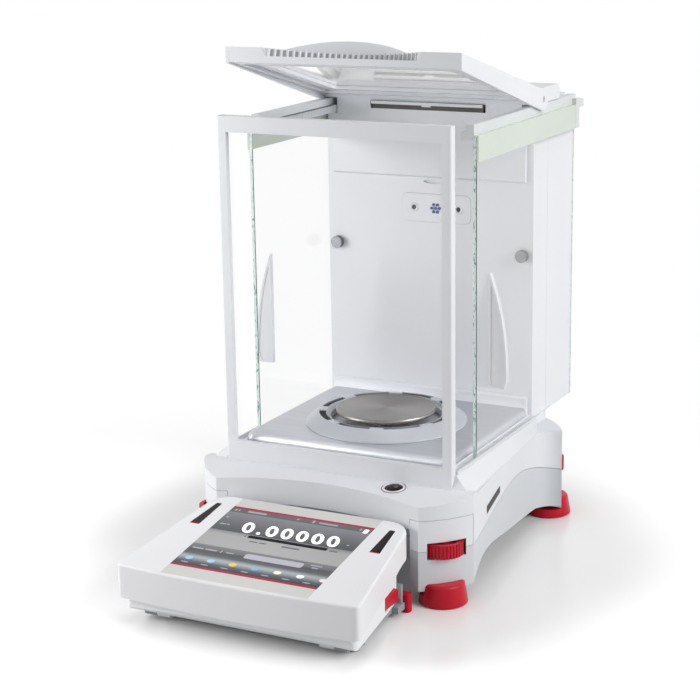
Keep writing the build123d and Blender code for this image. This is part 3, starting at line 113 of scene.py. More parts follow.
class BalanceLooks(bpy.types.PropertyGroup):
    """Sizes and colours that a user would change."""
    housing_white: FloatVectorProperty(name="Housing white", description="Moulded white housings",
                                       size=4, subtype="COLOR", min=0, max=1, default=linear("#E7E9ED"))
    housing_grey: FloatVectorProperty(name="Housing grey", description="Moulded grey lower housing",
                                      size=4, subtype="COLOR", min=0, max=1, default=linear("#D4D7DB"))
    terminal_white: FloatVectorProperty(name="Terminal white", description="The terminal's warmer white",
                                        size=4, subtype="COLOR", min=0, max=1, default=linear("#F1F1F4"))
    accent_red: FloatVectorProperty(name="Accent red", description="Wheels, feet, tabs and pads",
                                    size=4, subtype="COLOR", min=0, max=1, default=linear("#C4122A"))
    panel_slope: FloatProperty(name="Panel slope", description="Slope of the terminal's top",
                               subtype="ANGLE", default=math.radians(8.6))
    screen_half: FloatProperty(name="Screen half width", description="Half the display's width",
                               unit="LENGTH", default=59 * MM)
    screen_from: FloatProperty(name="Screen start", description="Front of the display, up the slope",
                               unit="LENGTH", default=15.7 * MM)
    screen_to: FloatProperty(name="Screen end", description="Back of the display, up the slope",
                             unit="LENGTH", default=108.4 * MM)
    digit_height: FloatProperty(name="Digit height", description="Height of the reading's digits",
                                unit="LENGTH", default=14.8 * MM)
    reading_width: FloatProperty(name="Reading width", description="Width of the whole reading",
                                 unit="LENGTH", default=80.5 * MM)
    icon_count: IntProperty(name="Icons", description="Tiles in the display's bottom row", default=7)
    icon_pitch: FloatProperty(name="Icon pitch", description="Distance between tiles",
                              unit="LENGTH", default=16.4 * MM)
    bubble_radius: FloatProperty(name="Bubble radius", description="Radius of the level's bubble",
                                 unit="LENGTH", default=1.9 * MM)
    tray_half: FloatProperty(name="Tray half width", description="Half the chamber tray's width",
                             unit="LENGTH", default=88.6 * MM)
    tray_height: FloatProperty(name="Tray height", description="Height of the tray's flat top",
                               unit="LENGTH", default=97.5 * MM)
    tray_roll: FloatProperty(name="Tray roll", description="Radius of the tray's rolled edges",
                             unit="LENGTH", default=5.6 * MM)
    ring_slots: IntProperty(name="Ring slots", description="Air slots in the draft ring", default=8)
    grip_gaps: IntProperty(name="Grip gaps", description="Gaps between the lid grip's fins", default=27)
    lens: FloatProperty(name="Lens", description="Camera focal length in millimetres", default=92.67)
    floor_size: FloatProperty(name="Floor size", description="Side of the square floor",
                              unit="LENGTH", default=12.0)


def add_node(tree, kind, inputs=None, **settings):
    """Add a node, set its properties, and give each input a value or link it.

    A node given as an input stands for its first output.
    """
    made = tree.nodes.new(kind)
    for key, value in settings.items():
        setattr(made, key, value)
    for key, value in (inputs or {}).items():
        if isinstance(value, bpy.types.Node):
            value = value.outputs[0]
        if isinstance(value, bpy.types.NodeSocket):
            tree.links.new(value, made.inputs[key])
        else:
            made.inputs[key].default_value = value
    return made


def new_material(name):
    """An empty node material and its tree."""
    material = bpy.data.materials.new(name)
    material.use_nodes = True
    material.node_tree.nodes.clear()
    return material, material.node_tree


def set_ramp(ramp, stops, interpolation="LINEAR"):
    """Fill a colour ramp from (place, colour) pairs; a colour is hex or linear RGBA."""
    ramp.interpolation = interpolation
    while len(ramp.elements) > 1:
        ramp.elements.remove(ramp.elements[-1])
    ramp.elements[0].position, ramp.elements[0].color = stops[0][0], linear(stops[0][1])
    for place, colour in stops[1:]:
        ramp.elements.new(place).color = linear(colour)


def moulded_plastic(name, colour, roughness=0.42, grain=1.1, bump=0.05, coat=0.0, gloss=0.5):
    """Injection-moulded ABS with a spark-eroded grain.

    The real grain is near 0.3 mm, so it is drawn about four times coarser to show at this size. A
    second, slow noise darkens the moulding by up to 4.5 percent in broad patches, as thick walls do.
    """
    material, tree = new_material(name)
    light = linear(colour)
    dark = tuple(c * 0.955 for c in light[:3]) + (1.0,)
    place = add_node(tree, "ShaderNodeTexCoord").outputs["Object"]
    grain_noise = add_node(tree, "ShaderNodeTexNoise",
                           {"Vector": place, "Scale": 1 / (grain * MM), "Detail": 2.0, "Roughness": 0.6})
    slow = add_node(tree, "ShaderNodeTexNoise", {"Vector": place, "Scale": 9.0, "Detail": 1.0})
    tint = add_node(tree, "ShaderNodeValToRGB", {"Fac": slow})
    set_ramp(tint.color_ramp, [(0.3, dark), (0.65, light[:3] + (1.0,))])
    dull = add_node(tree, "ShaderNodeMapRange",
                    {"Value": grain_noise, "To Min": roughness - 0.05, "To Max": roughness + 0.05})
    relief = add_node(tree, "ShaderNodeBump",
                      {"Height": grain_noise, "Strength": bump, "Distance": 0.2 * MM})
    shader = add_node(tree, "ShaderNodeBsdfPrincipled",
                      {"Base Color": tint, "Roughness": dull, "Normal": relief, "IOR": 1.53,
                       "Specular IOR Level": gloss, "Coat Weight": coat, "Coat Roughness": 0.08})
    add_node(tree, "ShaderNodeOutputMaterial", {"Surface": shader})
    return material


def brushed_metal(name, light, dark, along, across, roughness=0.3):
    """Stainless sheet with straight brushing: noise stretched along the grain tints and roughens it."""
    material, tree = new_material(name)
    place = add_node(tree, "ShaderNodeTexCoord").outputs["Object"]
    stretch = add_node(tree, "ShaderNodeMapping", {"Vector": place, "Scale": (along, across, across)})
    lines = add_node(tree, "ShaderNodeTexNoise",
                     {"Vector": stretch, "Scale": 1.0, "Detail": 4.0, "Roughness": 0.65})
    tint = add_node(tree, "ShaderNodeValToRGB", {"Fac": lines})
    set_ramp(tint.color_ramp, [(0.3, dark), (0.7, light)])
    gloss = add_node(tree, "ShaderNodeMapRange",
                     {"Value": lines, "To Min": roughness - 0.06, "To Max": roughness + 0.08})
    relief = add_node(tree, "ShaderNodeBump", {"Height": lines, "Strength": 0.08, "Distance": 0.05 * MM})
    shader = add_node(tree, "ShaderNodeBsdfPrincipled",
                      {"Base Color": tint, "Metallic": 1.0, "Roughness": gloss, "Normal": relief})
    add_node(tree, "ShaderNodeOutputMaterial", {"Surface": shader})
    return material


def turned_pan_steel(name, centre):
    """Spun stainless pan: fine rings round its axis; its warm tone is painted reflection of the bench and
    walls.
    """
    material, tree = new_material(name)
    place = add_node(tree, "ShaderNodeTexCoord").outputs["Object"]
    centred = add_node(tree, "ShaderNodeMapping",
                       {"Vector": place, "Location": (-centre[0], -centre[1], 0), "Scale": (1, 1, 0)})
    radius = add_node(tree, "ShaderNodeVectorMath", {0: centred}, operation="LENGTH")
    # Two brighter and two darker sectors round the axis, from the cosine of twice the angle, are a painted
    # sheen.
    turn = add_node(tree, "ShaderNodeSeparateXYZ", {"Vector": centred})
    angle = add_node(tree, "ShaderNodeMath", {0: turn.outputs["Y"], 1: turn.outputs["X"]},
                     operation="ARCTAN2")
    sweep = add_node(tree, "ShaderNodeMath", {0: angle, 1: 2.0}, operation="MULTIPLY")
    painted_sheen = add_node(tree, "ShaderNodeMath", {0: sweep}, operation="COSINE")
    rings = add_node(tree, "ShaderNodeTexNoise",
                     {"W": radius.outputs["Value"], "Scale": 1400.0, "Detail": 3.0},
                     noise_dimensions="1D")
    light = add_node(tree, "ShaderNodeMath", {0: painted_sheen, 1: 0.22}, operation="MULTIPLY")
    both = add_node(tree, "ShaderNodeMath", {0: rings, 1: light}, operation="ADD")
    tint = add_node(tree, "ShaderNodeValToRGB", {"Fac": both})
    set_ramp(tint.color_ramp, [(0.2, "#7C7774"), (0.55, "#928D8A"), (0.85, "#ABA6A2")])
    shader = add_node(tree, "ShaderNodeBsdfPrincipled",
                      {"Base Color": tint, "Metallic": 1.0, "Roughness": 0.34})
    add_node(tree, "ShaderNodeOutputMaterial", {"Surface": shader})
    return material


def float_glass(name, edge_axes, edge_colour="#6FA79B", pale="#DDEFEA"):
    """Clear float glass, 3 mm: faces colourless, polished edges pale with broken dark green lines.

    Shadow and diffuse rays pass straight through, so the chamber is lit as through real glass. The
    edge's dark dashes are painted reflection of the dark room in a polished edge; here they come every 3
    mm.
    """
    material, tree = new_material(name)
    coordinates = add_node(tree, "ShaderNodeTexCoord")
    parts = add_node(tree, "ShaderNodeSeparateXYZ", {"Vector": coordinates.outputs["Normal"]})
    face = add_node(tree, "ShaderNodeMath", {0: parts.outputs[edge_axes]}, operation="ABSOLUTE")
    is_edge = add_node(tree, "ShaderNodeMath", {0: face, 1: 0.5}, operation="LESS_THAN")
    stretch = add_node(tree, "ShaderNodeMapping",
                       {"Vector": coordinates.outputs["Object"], "Scale": (900.0, 900.0, 330.0)})
    reflection_dashes = add_node(tree, "ShaderNodeTexNoise", {"Vector": stretch, "Scale": 1.0, "Detail": 1.0})
    edge_tint = add_node(tree, "ShaderNodeValToRGB", {"Fac": reflection_dashes})
    set_ramp(edge_tint.color_ramp, [(0.33, edge_colour), (0.45, pale)])
    glass = add_node(tree, "ShaderNodeBsdfPrincipled",
                     {"Base Color": linear("#FFFFFF"), "Roughness": 0.0, "IOR": 1.3,
                      "Transmission Weight": 1.0})
    polished = add_node(tree, "ShaderNodeBsdfPrincipled",
                        {"Base Color": edge_tint, "Roughness": 0.2, "IOR": 1.5})
    pane = add_node(tree, "ShaderNodeMixShader", {0: is_edge, 1: glass, 2: polished})
    path = add_node(tree, "ShaderNodeLightPath")
    passing = add_node(tree, "ShaderNodeMath",
                       {0: path.outputs["Is Shadow Ray"], 1: path.outputs["Is Diffuse Ray"]},
                       operation="MAXIMUM")
    clear = add_node(tree, "ShaderNodeBsdfTransparent", {"Color": (1.0, 1.0, 1.0, 1.0)})
    mixed = add_node(tree, "ShaderNodeMixShader", {0: passing, 1: pane, 2: clear})
    add_node(tree, "ShaderNodeOutputMaterial", {"Surface": mixed})
    return material


def display_picture(name):
    """Backlit LCD: a header, a shaded reading field, a pale band, a dark key row and two red rules."""
    material, tree = new_material(name)
    uv = add_node(tree, "ShaderNodeUVMap", uv_map="picture")
    parts = add_node(tree, "ShaderNodeSeparateXYZ", {"Vector": uv})
    rows = add_node(tree, "ShaderNodeValToRGB", {"Fac": parts.outputs["Y"]})
    set_ramp(rows.color_ramp,
             ((0.000, "#B32845"), (0.026, "#B32845"), (0.030, "#3B3A40"), (0.085, "#5E636B"),
              (0.155, "#BCC6CB"), (0.205, "#66686D"), (0.265, "#55565C"), (0.290, "#77777D"),
              (0.352, "#8B8B90"), (0.358, "#BCBCBC"), (0.545, "#B9B9B9"), (0.600, "#98989C"),
              (0.606, "#55575C"), (0.700, "#64666B"), (0.905, "#8F9096"), (0.912, "#66676C"),
              (0.968, "#6E6C72"), (0.972, "#B32845")))
    across = add_node(tree, "ShaderNodeMath", {0: parts.outputs["X"], 1: 0.5}, operation="SUBTRACT")
    side = add_node(tree, "ShaderNodeMath", {0: across}, operation="ABSOLUTE")
    fall = add_node(tree, "ShaderNodeMapRange",
                    {"Value": side, "From Max": 0.5, "To Min": 1.0, "To Max": 0.9})
    lit = add_node(tree, "ShaderNodeVectorMath", {0: rows, "Scale": fall}, operation="SCALE")
    film = add_node(tree, "ShaderNodeVectorMath", {0: lit, "Scale": 0.7}, operation="SCALE")
    shader = add_node(tree, "ShaderNodeBsdfPrincipled",
                      {"Base Color": film, "Emission Color": lit, "Emission Strength": 0.25,
                       "Roughness": 0.3, "IOR": 1.3})
    add_node(tree, "ShaderNodeOutputMaterial", {"Surface": shader})
    return material


def display_mark(name, code, glow=0.35):
    """A mark shown by the display: its colour, faintly mottled by the pixels, with a little light."""
    material, tree = new_material(name)
    place = add_node(tree, "ShaderNodeTexCoord").outputs["Object"]
    pixels = add_node(tree, "ShaderNodeTexNoise", {"Vector": place, "Scale": 1500.0})
    colour = linear(code)
    dark = tuple(c * 0.94 for c in colour[:3]) + (1.0,)
    tint = add_node(tree, "ShaderNodeValToRGB", {"Fac": pixels})
    set_ramp(tint.color_ramp, [(0.3, dark), (0.6, colour)])
    shader = add_node(tree, "ShaderNodeBsdfPrincipled",
                      {"Base Color": tint, "Emission Color": tint, "Emission Strength": glow,
                       "Roughness": 0.3, "IOR": 1.15})
    add_node(tree, "ShaderNodeOutputMaterial", {"Surface": shader})
    return material


def display_tiles(name):
    """The key row's tiles: each tile's own colour comes from its stored number."""
    material, tree = new_material(name)
    number = add_node(tree, "ShaderNodeAttribute", attribute_name="tile")
    tint = add_node(tree, "ShaderNodeValToRGB", {"Fac": number.outputs["Fac"]})
    set_ramp(tint.color_ramp,
             ((0.0, "#8FB9DA"), (0.12, "#9DBEDC"), (0.26, "#E3BE3E"), (0.40, "#78A9CF"),
              (0.54, "#E9E2C4"), (0.69, "#E6EAF0"), (0.83, "#E8CDD0")), "CONSTANT")
    shader = add_node(tree, "ShaderNodeBsdfPrincipled",
                      {"Base Color": tint, "Emission Color": tint, "Emission Strength": 0.3,
                       "Roughness": 0.3})
    add_node(tree, "ShaderNodeOutputMaterial", {"Surface": shader})
    return material


def infrared_window(name):
    """Infrared-pass acrylic: near black, glossy, with a trace of red where light gets in."""
    material, tree = new_material(name)
    place = add_node(tree, "ShaderNodeTexCoord").outputs["Object"]
    haze = add_node(tree, "ShaderNodeTexNoise", {"Vector": place, "Scale": 60.0, "Detail": 2.0})
    tint = add_node(tree, "ShaderNodeValToRGB", {"Fac": haze})
    set_ramp(tint.color_ramp, [(0.4, "#1B1318"), (0.7, "#2A1B21")])
    shader = add_node(tree, "ShaderNodeBsdfPrincipled",
                      {"Base Color": tint, "Roughness": 0.22, "IOR": 1.2})
    add_node(tree, "ShaderNodeOutputMaterial", {"Surface": shader})
    return material


def dress(material, *names):
    """Give CAD nodes a finish."""
    for name in names:
        mesh = NODES[name].data
        mesh.materials.clear()
        mesh.materials.append(material)


def linked(name, data):
    """A new object in the scene."""
    made = bpy.data.objects.new(name, data)
    bpy.context.scene.collection.objects.link(made)
    return made


def mesh_piece(name, mesh, material, body, slot, *stands_for):
    """Make a mesh a piece of the scene that rides on a body, and may stand for CAD nodes."""
    piece = linked(name, mesh)
    mesh.materials.clear()
    mesh.materials.append(material)
    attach(piece, body)
    if stands_for:
        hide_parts(*stands_for)
    return piece


def mesh_from(bm, name):
    """The mesh of a bmesh, which is then freed."""
    mesh = bpy.data.meshes.new(name)
    bm.to_mesh(mesh)
    bm.free()
    return mesh


def joined(name, meshes):
    """Several meshes as one."""
    bm = bmesh.new()
    for mesh in meshes:
        bm.from_mesh(mesh)
    return mesh_from(bm, name)


def smoothed(mesh, angle=32.0):
    """Shade a mesh smooth, but keep edges sharper than an angle crisp."""
    mesh.shade_smooth()
    mesh.set_sharp_from_angle(angle=math.radians(angle))
    return mesh


def stacked(loops, closed=False):
    """A closed skin over loops of equal length, capped at its ends or joined end to start."""
    bm = bmesh.new()
    rings = [[bm.verts.new(point) for point in loop] for loop in loops]
    pairs = list(zip(rings, rings[1:]))
    if closed:
        pairs.append((rings[-1], rings[0]))
    for lower, upper in pairs:
        for k in range(len(lower)):
            after = (k + 1) % len(lower)
            bm.faces.new((lower[k], lower[after], upper[after], upper[k]))
    if not closed:
        bm.faces.new(rings[0])
        bm.faces.new(rings[-1])
    bmesh.ops.recalc_face_normals(bm, faces=bm.faces)
    return smoothed(mesh_from(bm, "skin"))


def circle(radius, height, sides=64):
    """Points of a level circle round the z axis."""
    return [Vector((radius * math.cos(2 * math.pi * k / sides),
                    radius * math.sin(2 * math.pi * k / sides), height)) for k in range(sides)]


def turned(profile, centre=(0, 0, 0), sides=64, closed=False):
    """A solid of revolution from (radius, height) pairs in millimetres, standing on centre."""
    mesh = stacked([circle(radius * MM, height * MM, sides) for radius, height in profile], closed)
    mesh.transform(Matrix.Translation(centre))
    return mesh


def rounded_outline(low, high, radius, height, steps=6):
    """Points of a rectangle with round corners at a height, anticlockwise from its right side."""
    left, right, front, back = low[0] + radius, high[0] - radius, low[1] + radius, high[1] - radius
    points = []
    for quarter, (x, y) in enumerate(((right, back), (left, back), (left, front), (right, front))):
        for step in range(steps + 1):
            turn = math.radians(90 * quarter + 90 * step / steps)
            points.append(Vector((x + radius * math.cos(turn), y + radius * math.sin(turn), height)))
    return points


def reshaped(node, move):
    """A merged copy of a CAD node's mesh, its points moved by a rule in millimetres, its shading kept."""
    source = NODES[node].data
    merging_distance = 0.005 * MM
    merged, index, points, faces, normals = {}, [], [], [], []
    for vert in source.vertices:
        key = tuple(round(c / merging_distance) for c in vert.co)
        if key not in merged:
            merged[key] = len(points)
            points.append(Vector(move(*(vert.co / MM))) * MM)
        index.append(merged[key])
    for face in source.polygons:
        corners = [index[k] for k in face.vertices]
        if len(set(corners)) == len(corners):
            faces.append(corners)
            normals += [source.corner_normals[k].vector.copy() for k in face.loop_indices]
    mesh = bpy.data.meshes.new(node)
    mesh.from_pydata(points, [], faces)
    mesh.normals_split_custom_set(normals)
    return mesh


def cut_out(mesh, tool_mesh):
    """A mesh with another one cut out of it."""
    body, tool = linked("body", mesh), linked("tool", tool_mesh)
    modifier = body.modifiers.new("cut", "BOOLEAN")
    modifier.object, modifier.operation, modifier.solver = tool, "DIFFERENCE", "EXACT"
    result = plain_mesh(body)
    bpy.data.objects.remove(tool)
    return smoothed(result)


def panel_matrix(looks):
    """Where the terminal's sloped top lies: x across, y up the slope, z off the panel."""
    low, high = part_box("touch_panel")
    slope, panel_length = looks.panel_slope, 120.9 * MM
    top = Vector(((low.x + high.x) / 2, high.y, high.z))
    rise = Vector((0, math.cos(slope), math.sin(slope)))
    start = top - rise * panel_length
    across = Vector((1, 0, 0))
    normal = across.cross(rise)
    matrix = Matrix((across, rise, normal)).transposed().to_4x4()
    matrix.translation = start
    return matrix


def rounded_plate(low, high, radius, thickness):
    """A thin plate with rounded corners between two corners, its UV map running 0 to 1 each way."""
    bm = bmesh.new()
    face = bm.faces.new([bm.verts.new(point) for point in rounded_outline(low, high, radius, 0, steps=5)])
    made = bmesh.ops.extrude_face_region(bm, geom=[face])
    raised = [item for item in made["geom"] if isinstance(item, bmesh.types.BMVert)]
    bmesh.ops.translate(bm, verts=raised, vec=(0, 0, thickness))
    bmesh.ops.recalc_face_normals(bm, faces=bm.faces)
    layer = bm.loops.layers.uv.new("picture")
    for item in bm.faces:
        for loop in item.loops:
            x, y, _ = loop.vert.co
            loop[layer].uv = ((x - low[0]) / (high[0] - low[0]), (y - low[1]) / (high[1] - low[1]))
    return mesh_from(bm, "plate")


def plain_mesh(holder):
    """The evaluated mesh of an object whose modifiers or curves are then thrown away."""
    bpy.context.view_layer.update()
    mesh = bpy.data.meshes.new_from_object(holder.evaluated_get(bpy.context.evaluated_depsgraph_get()))
    bpy.data.objects.remove(holder)
    return mesh


def geometry_holder(tree, values):
    """An object whose shape a geometry tree makes, with the tree's named inputs set."""
    holder = linked("holder", bpy.data.meshes.new("holder"))
    modifier = holder.modifiers.new("pattern", "NODES")
    modifier.node_group = tree
    for item in tree.interface.items_tree:
        if item.item_type == "SOCKET" and item.in_out == "INPUT" and item.name in values:
            modifier[item.identifier] = values[item.name]
    return holder


def tree_with_inputs(name, **sockets):
    """A geometry tree with inputs, each named and of a kind, and one geometry output."""
    tree = bpy.data.node_groups.new(name, "GeometryNodeTree")
    for label, kind in sockets.items():
        tree.interface.new_socket(name=label, in_out="INPUT", socket_type="NodeSocket" + kind)
    tree.interface.new_socket(name="Geometry", in_out="OUTPUT", socket_type="NodeSocketGeometry")
    return tree, add_node(tree, "NodeGroupInput").outputs


def finish_tree(tree, instances, material):
    """End a geometry tree: its instances made real, in one material."""
    real = add_node(tree, "GeometryNodeRealizeInstances", {"Geometry": instances})
    done = add_node(tree, "GeometryNodeSetMaterial", {"Geometry": real, "Material": material})
    add_node(tree, "NodeGroupOutput", {"Geometry": done})
    return tree


def tile_row_tree(material):
    """Eight-sided tiles in a row, each with its share of the row as its number."""
    tree, given = tree_with_inputs("tile_row", Count="Int", Pitch="Float", Radius="Float",
                                   Thickness="Float")
    offset = add_node(tree, "ShaderNodeCombineXYZ", {"X": given["Pitch"]})
    line = add_node(tree, "GeometryNodeMeshLine", {"Count": given["Count"], "Offset": offset})
    sides = 8
    tile = add_node(tree, "GeometryNodeMeshCylinder",
                    {"Vertices": sides, "Radius": given["Radius"], "Depth": given["Thickness"]})
    placed = add_node(tree, "GeometryNodeInstanceOnPoints",
                      {"Points": line, "Instance": tile, "Rotation": (0.0, 0.0, math.pi / sides)})
    index = add_node(tree, "GeometryNodeInputIndex")
    share = add_node(tree, "ShaderNodeMath", {0: index, 1: given["Count"]}, operation="DIVIDE")
    stored = add_node(tree, "GeometryNodeStoreNamedAttribute",
                      {"Geometry": placed, "Name": "tile", "Value": share}, data_type="FLOAT",
                      domain="INSTANCE")
    return finish_tree(tree, stored, material)


def turned_copies_tree(material):
    """Copies of an object, each moved on by an offset and turned on by an angle about the z axis."""
    tree, given = tree_with_inputs("turned_copies", Count="Int", Start="Float", Step="Float",
                                   Offset="Vector", Part="Object")
    line = add_node(tree, "GeometryNodeMeshLine", {"Count": given["Count"], "Offset": given["Offset"]})
    index = add_node(tree, "GeometryNodeInputIndex")
    angle = add_node(tree, "ShaderNodeMath", {0: index, 1: given["Step"], 2: given["Start"]},
                     operation="MULTIPLY_ADD")
    turn = add_node(tree, "ShaderNodeCombineXYZ", {"Z": angle})
    part = add_node(tree, "GeometryNodeObjectInfo", {"Object": given["Part"]})
    placed = add_node(tree, "GeometryNodeInstanceOnPoints",
                      {"Points": line, "Instance": part.outputs["Geometry"], "Rotation": turn})
    return finish_tree(tree, placed, material)


def turned_copies(mesh, material, count, start=0.0, step=0.0, offset=(0.0, 0.0, 0.0)):
    """The mesh of several copies of a small part, each moved and turned on from the last."""
    part = linked("part", mesh)
    made = plain_mesh(geometry_holder(turned_copies_tree(material),
                                      {"Count": count, "Start": math.radians(start),
                                       "Step": math.radians(step), "Offset": offset, "Part": part}))
    bpy.data.objects.remove(part)
    return made


def screw_pattern_tree(material):
    """Screw heads at the corners of a rectangle."""
    tree, given = tree_with_inputs("screw_pattern", Width="Float", Height="Float", Screw="Object")
    grid = add_node(tree, "GeometryNodeMeshGrid",
                    {"Size X": given["Width"], "Size Y": given["Height"], "Vertices X": 2,
                     "Vertices Y": 2})
    head = add_node(tree, "GeometryNodeObjectInfo", {"Object": given["Screw"]})
    placed = add_node(tree, "GeometryNodeInstanceOnPoints",
                      {"Points": grid, "Instance": head.outputs["Geometry"]})
    return finish_tree(tree, placed, material)


class BALANCE_OT_housings(bpy.types.Operator):
    """Finish the moulded housings, frames, lid and rails"""
    bl_idname = "balance.housings"
    bl_label = "Housings"

    def execute(self, context):
        looks = context.scene.balance_looks
        white = moulded_plastic("Moulded white ABS", looks.housing_white)
        grey = moulded_plastic("Moulded grey ABS", looks.housing_grey, roughness=0.46)
        warm = moulded_plastic("Moulded warm white ABS", looks.terminal_white, roughness=0.38)
        dress(white, "chassis", "chamber_rim", "front_frame", "tower_front", "tower_rear", "tower_cap",
              "lid_frame", "ioniser_panel")
        dress(grey, "lower_housing", "weigh_below_cover")
        dress(moulded_plastic("Moulded pale ABS", "#F6F7F9", roughness=0.46), "terminal_lower_shell")
        dress(moulded_plastic("Acetal rail grey", "#DADDDF", roughness=0.35), "door_tracks",
              "left_door_carrier", "right_door_carrier")
        dress(moulded_plastic("Bracket grey nylon", "#9DA1A5", roughness=0.5), "terminal_stand",
              "docking_bracket")

        apron_edge, apron_lower, apron_front = 61.3, 4.3, -60.0

        def lower_apron(x, y, z):
            return (x, y, z - apron_lower if abs(z - apron_edge) < 0.2 and y < apron_front else z)

        mesh_piece("deck_and_apron", reshaped("top_cover", lower_apron), white, "base", "white_housing",
                   "top_cover")

        lip_fall, lip_top, lip_rear, lip_front = 2.6, 35.0, -150.0, -212.0

        def deepen_front(x, y, z):
            share = min(max((lip_rear - y) / (lip_rear - lip_front), 0.0), 1.0)
            return (x, y, z - lip_fall * share if z < lip_top else z)

        mesh_piece("terminal_top_shell", reshaped("terminal_upper_shell", deepen_front), warm, "terminal",
                   "white_housing", "terminal_upper_shell")

        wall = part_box("tower_front")[0].y
        # The dark sheet behind the slot in the tower wall is painted shade, standing for the slot's dark
        # inside.
        dark = moulded_plastic("Painted shade in the wall slot", "#4F4B48", roughness=0.6)
        parts = (("slot_flap", white, "white_housing", 49, 0.3, 1.7, 338.7, 341.1),
                 ("slot_tab", white, "white_housing", 4, 0.3, 1.7, 337.6, 338.7),
                 ("slot_lining", dark, "black_plastic", 49, 3.4, 4.4, 334.6, 341.0))
        for name, material, slot, reach, near, far, low, high in parts:
            loops = [rounded_outline((-reach * MM, wall + near * MM), (reach * MM, wall + far * MM),
                                     0.4 * MM, height * MM) for height in (low, high)]
            mesh_piece(name, stacked(loops), material, "base", slot)
        return {"FINISHED"}


class BALANCE_OT_glazing(bpy.types.Operator):
    """Finish the panes and the capping strips, and shape the fin handles"""
    bl_idname = "balance.glazing"
    bl_label = "Glazing"

    def execute(self, context):
        dress(float_glass("Side float glass", "X"), "left_door_glass", "right_door_glass")
        dress(float_glass("Front float glass", "Y", "#C9DAD6"), "front_glass")
        dress(float_glass("Lid float glass", "Z", "#CBDBD8", "#E6EEEC"), "lid_glass")
        dress(moulded_plastic("Pale green capping strip", "#CFD8CD", roughness=0.25, coat=0.3),
              "left_door_strip", "right_door_strip")
        handle = moulded_plastic("Handle grey-white ABS", "#E4E6EA", roughness=0.35)
        for side_name, side in (("left", -1), ("right", 1)):
            low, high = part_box(f"{side_name}_door_handle")
            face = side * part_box(f"{side_name}_door_glass")[1 if side > 0 else 0].x
            mesh_piece(f"{side_name}_fin_handle", self.fin(side, abs(face), low, high), handle,
                       f"{side_name} door", "white_housing", f"{side_name}_door_handle")
        return {"FINISHED"}

    def fin(self, side, face, low, high):
        """A fin that swells from the glass downwards along a power curve, hollowed on both sides."""
        out = max(abs(low.x), abs(high.x)) - face
        middle, half_thick = (low.y + high.y) / 2, 2.3 * MM
        rim, hollow, least, corner = 1.7 * MM, 0.7 * MM, 0.2 * MM, 2.2 * MM
        power, point_inset, steps = 2.4, 6, 28

        def outline(inset, y):
            foot, top = low.z + inset, high.z - point_inset * inset
            curve = []
            for step in range(steps + 1):
                z = foot + (top - foot) * step / steps
                spread = max(out * (1 - ((z - low.z) / (high.z - low.z)) ** power) - inset, least)
                cut = (1 - min(step, 2) / 2) * corner
                curve.append(Vector((side * (face + spread - cut), y, z)))
            near = side * (face + inset / 2)
            return [Vector((near, y, foot))] + curve + [Vector((near, y, top))]

        front, back = middle - half_thick, middle + half_thick
        return stacked([outline(rim, front + hollow), outline(rim, front), outline(0, front),
                        outline(0, back), outline(rim, back), outline(rim, back - hollow)])


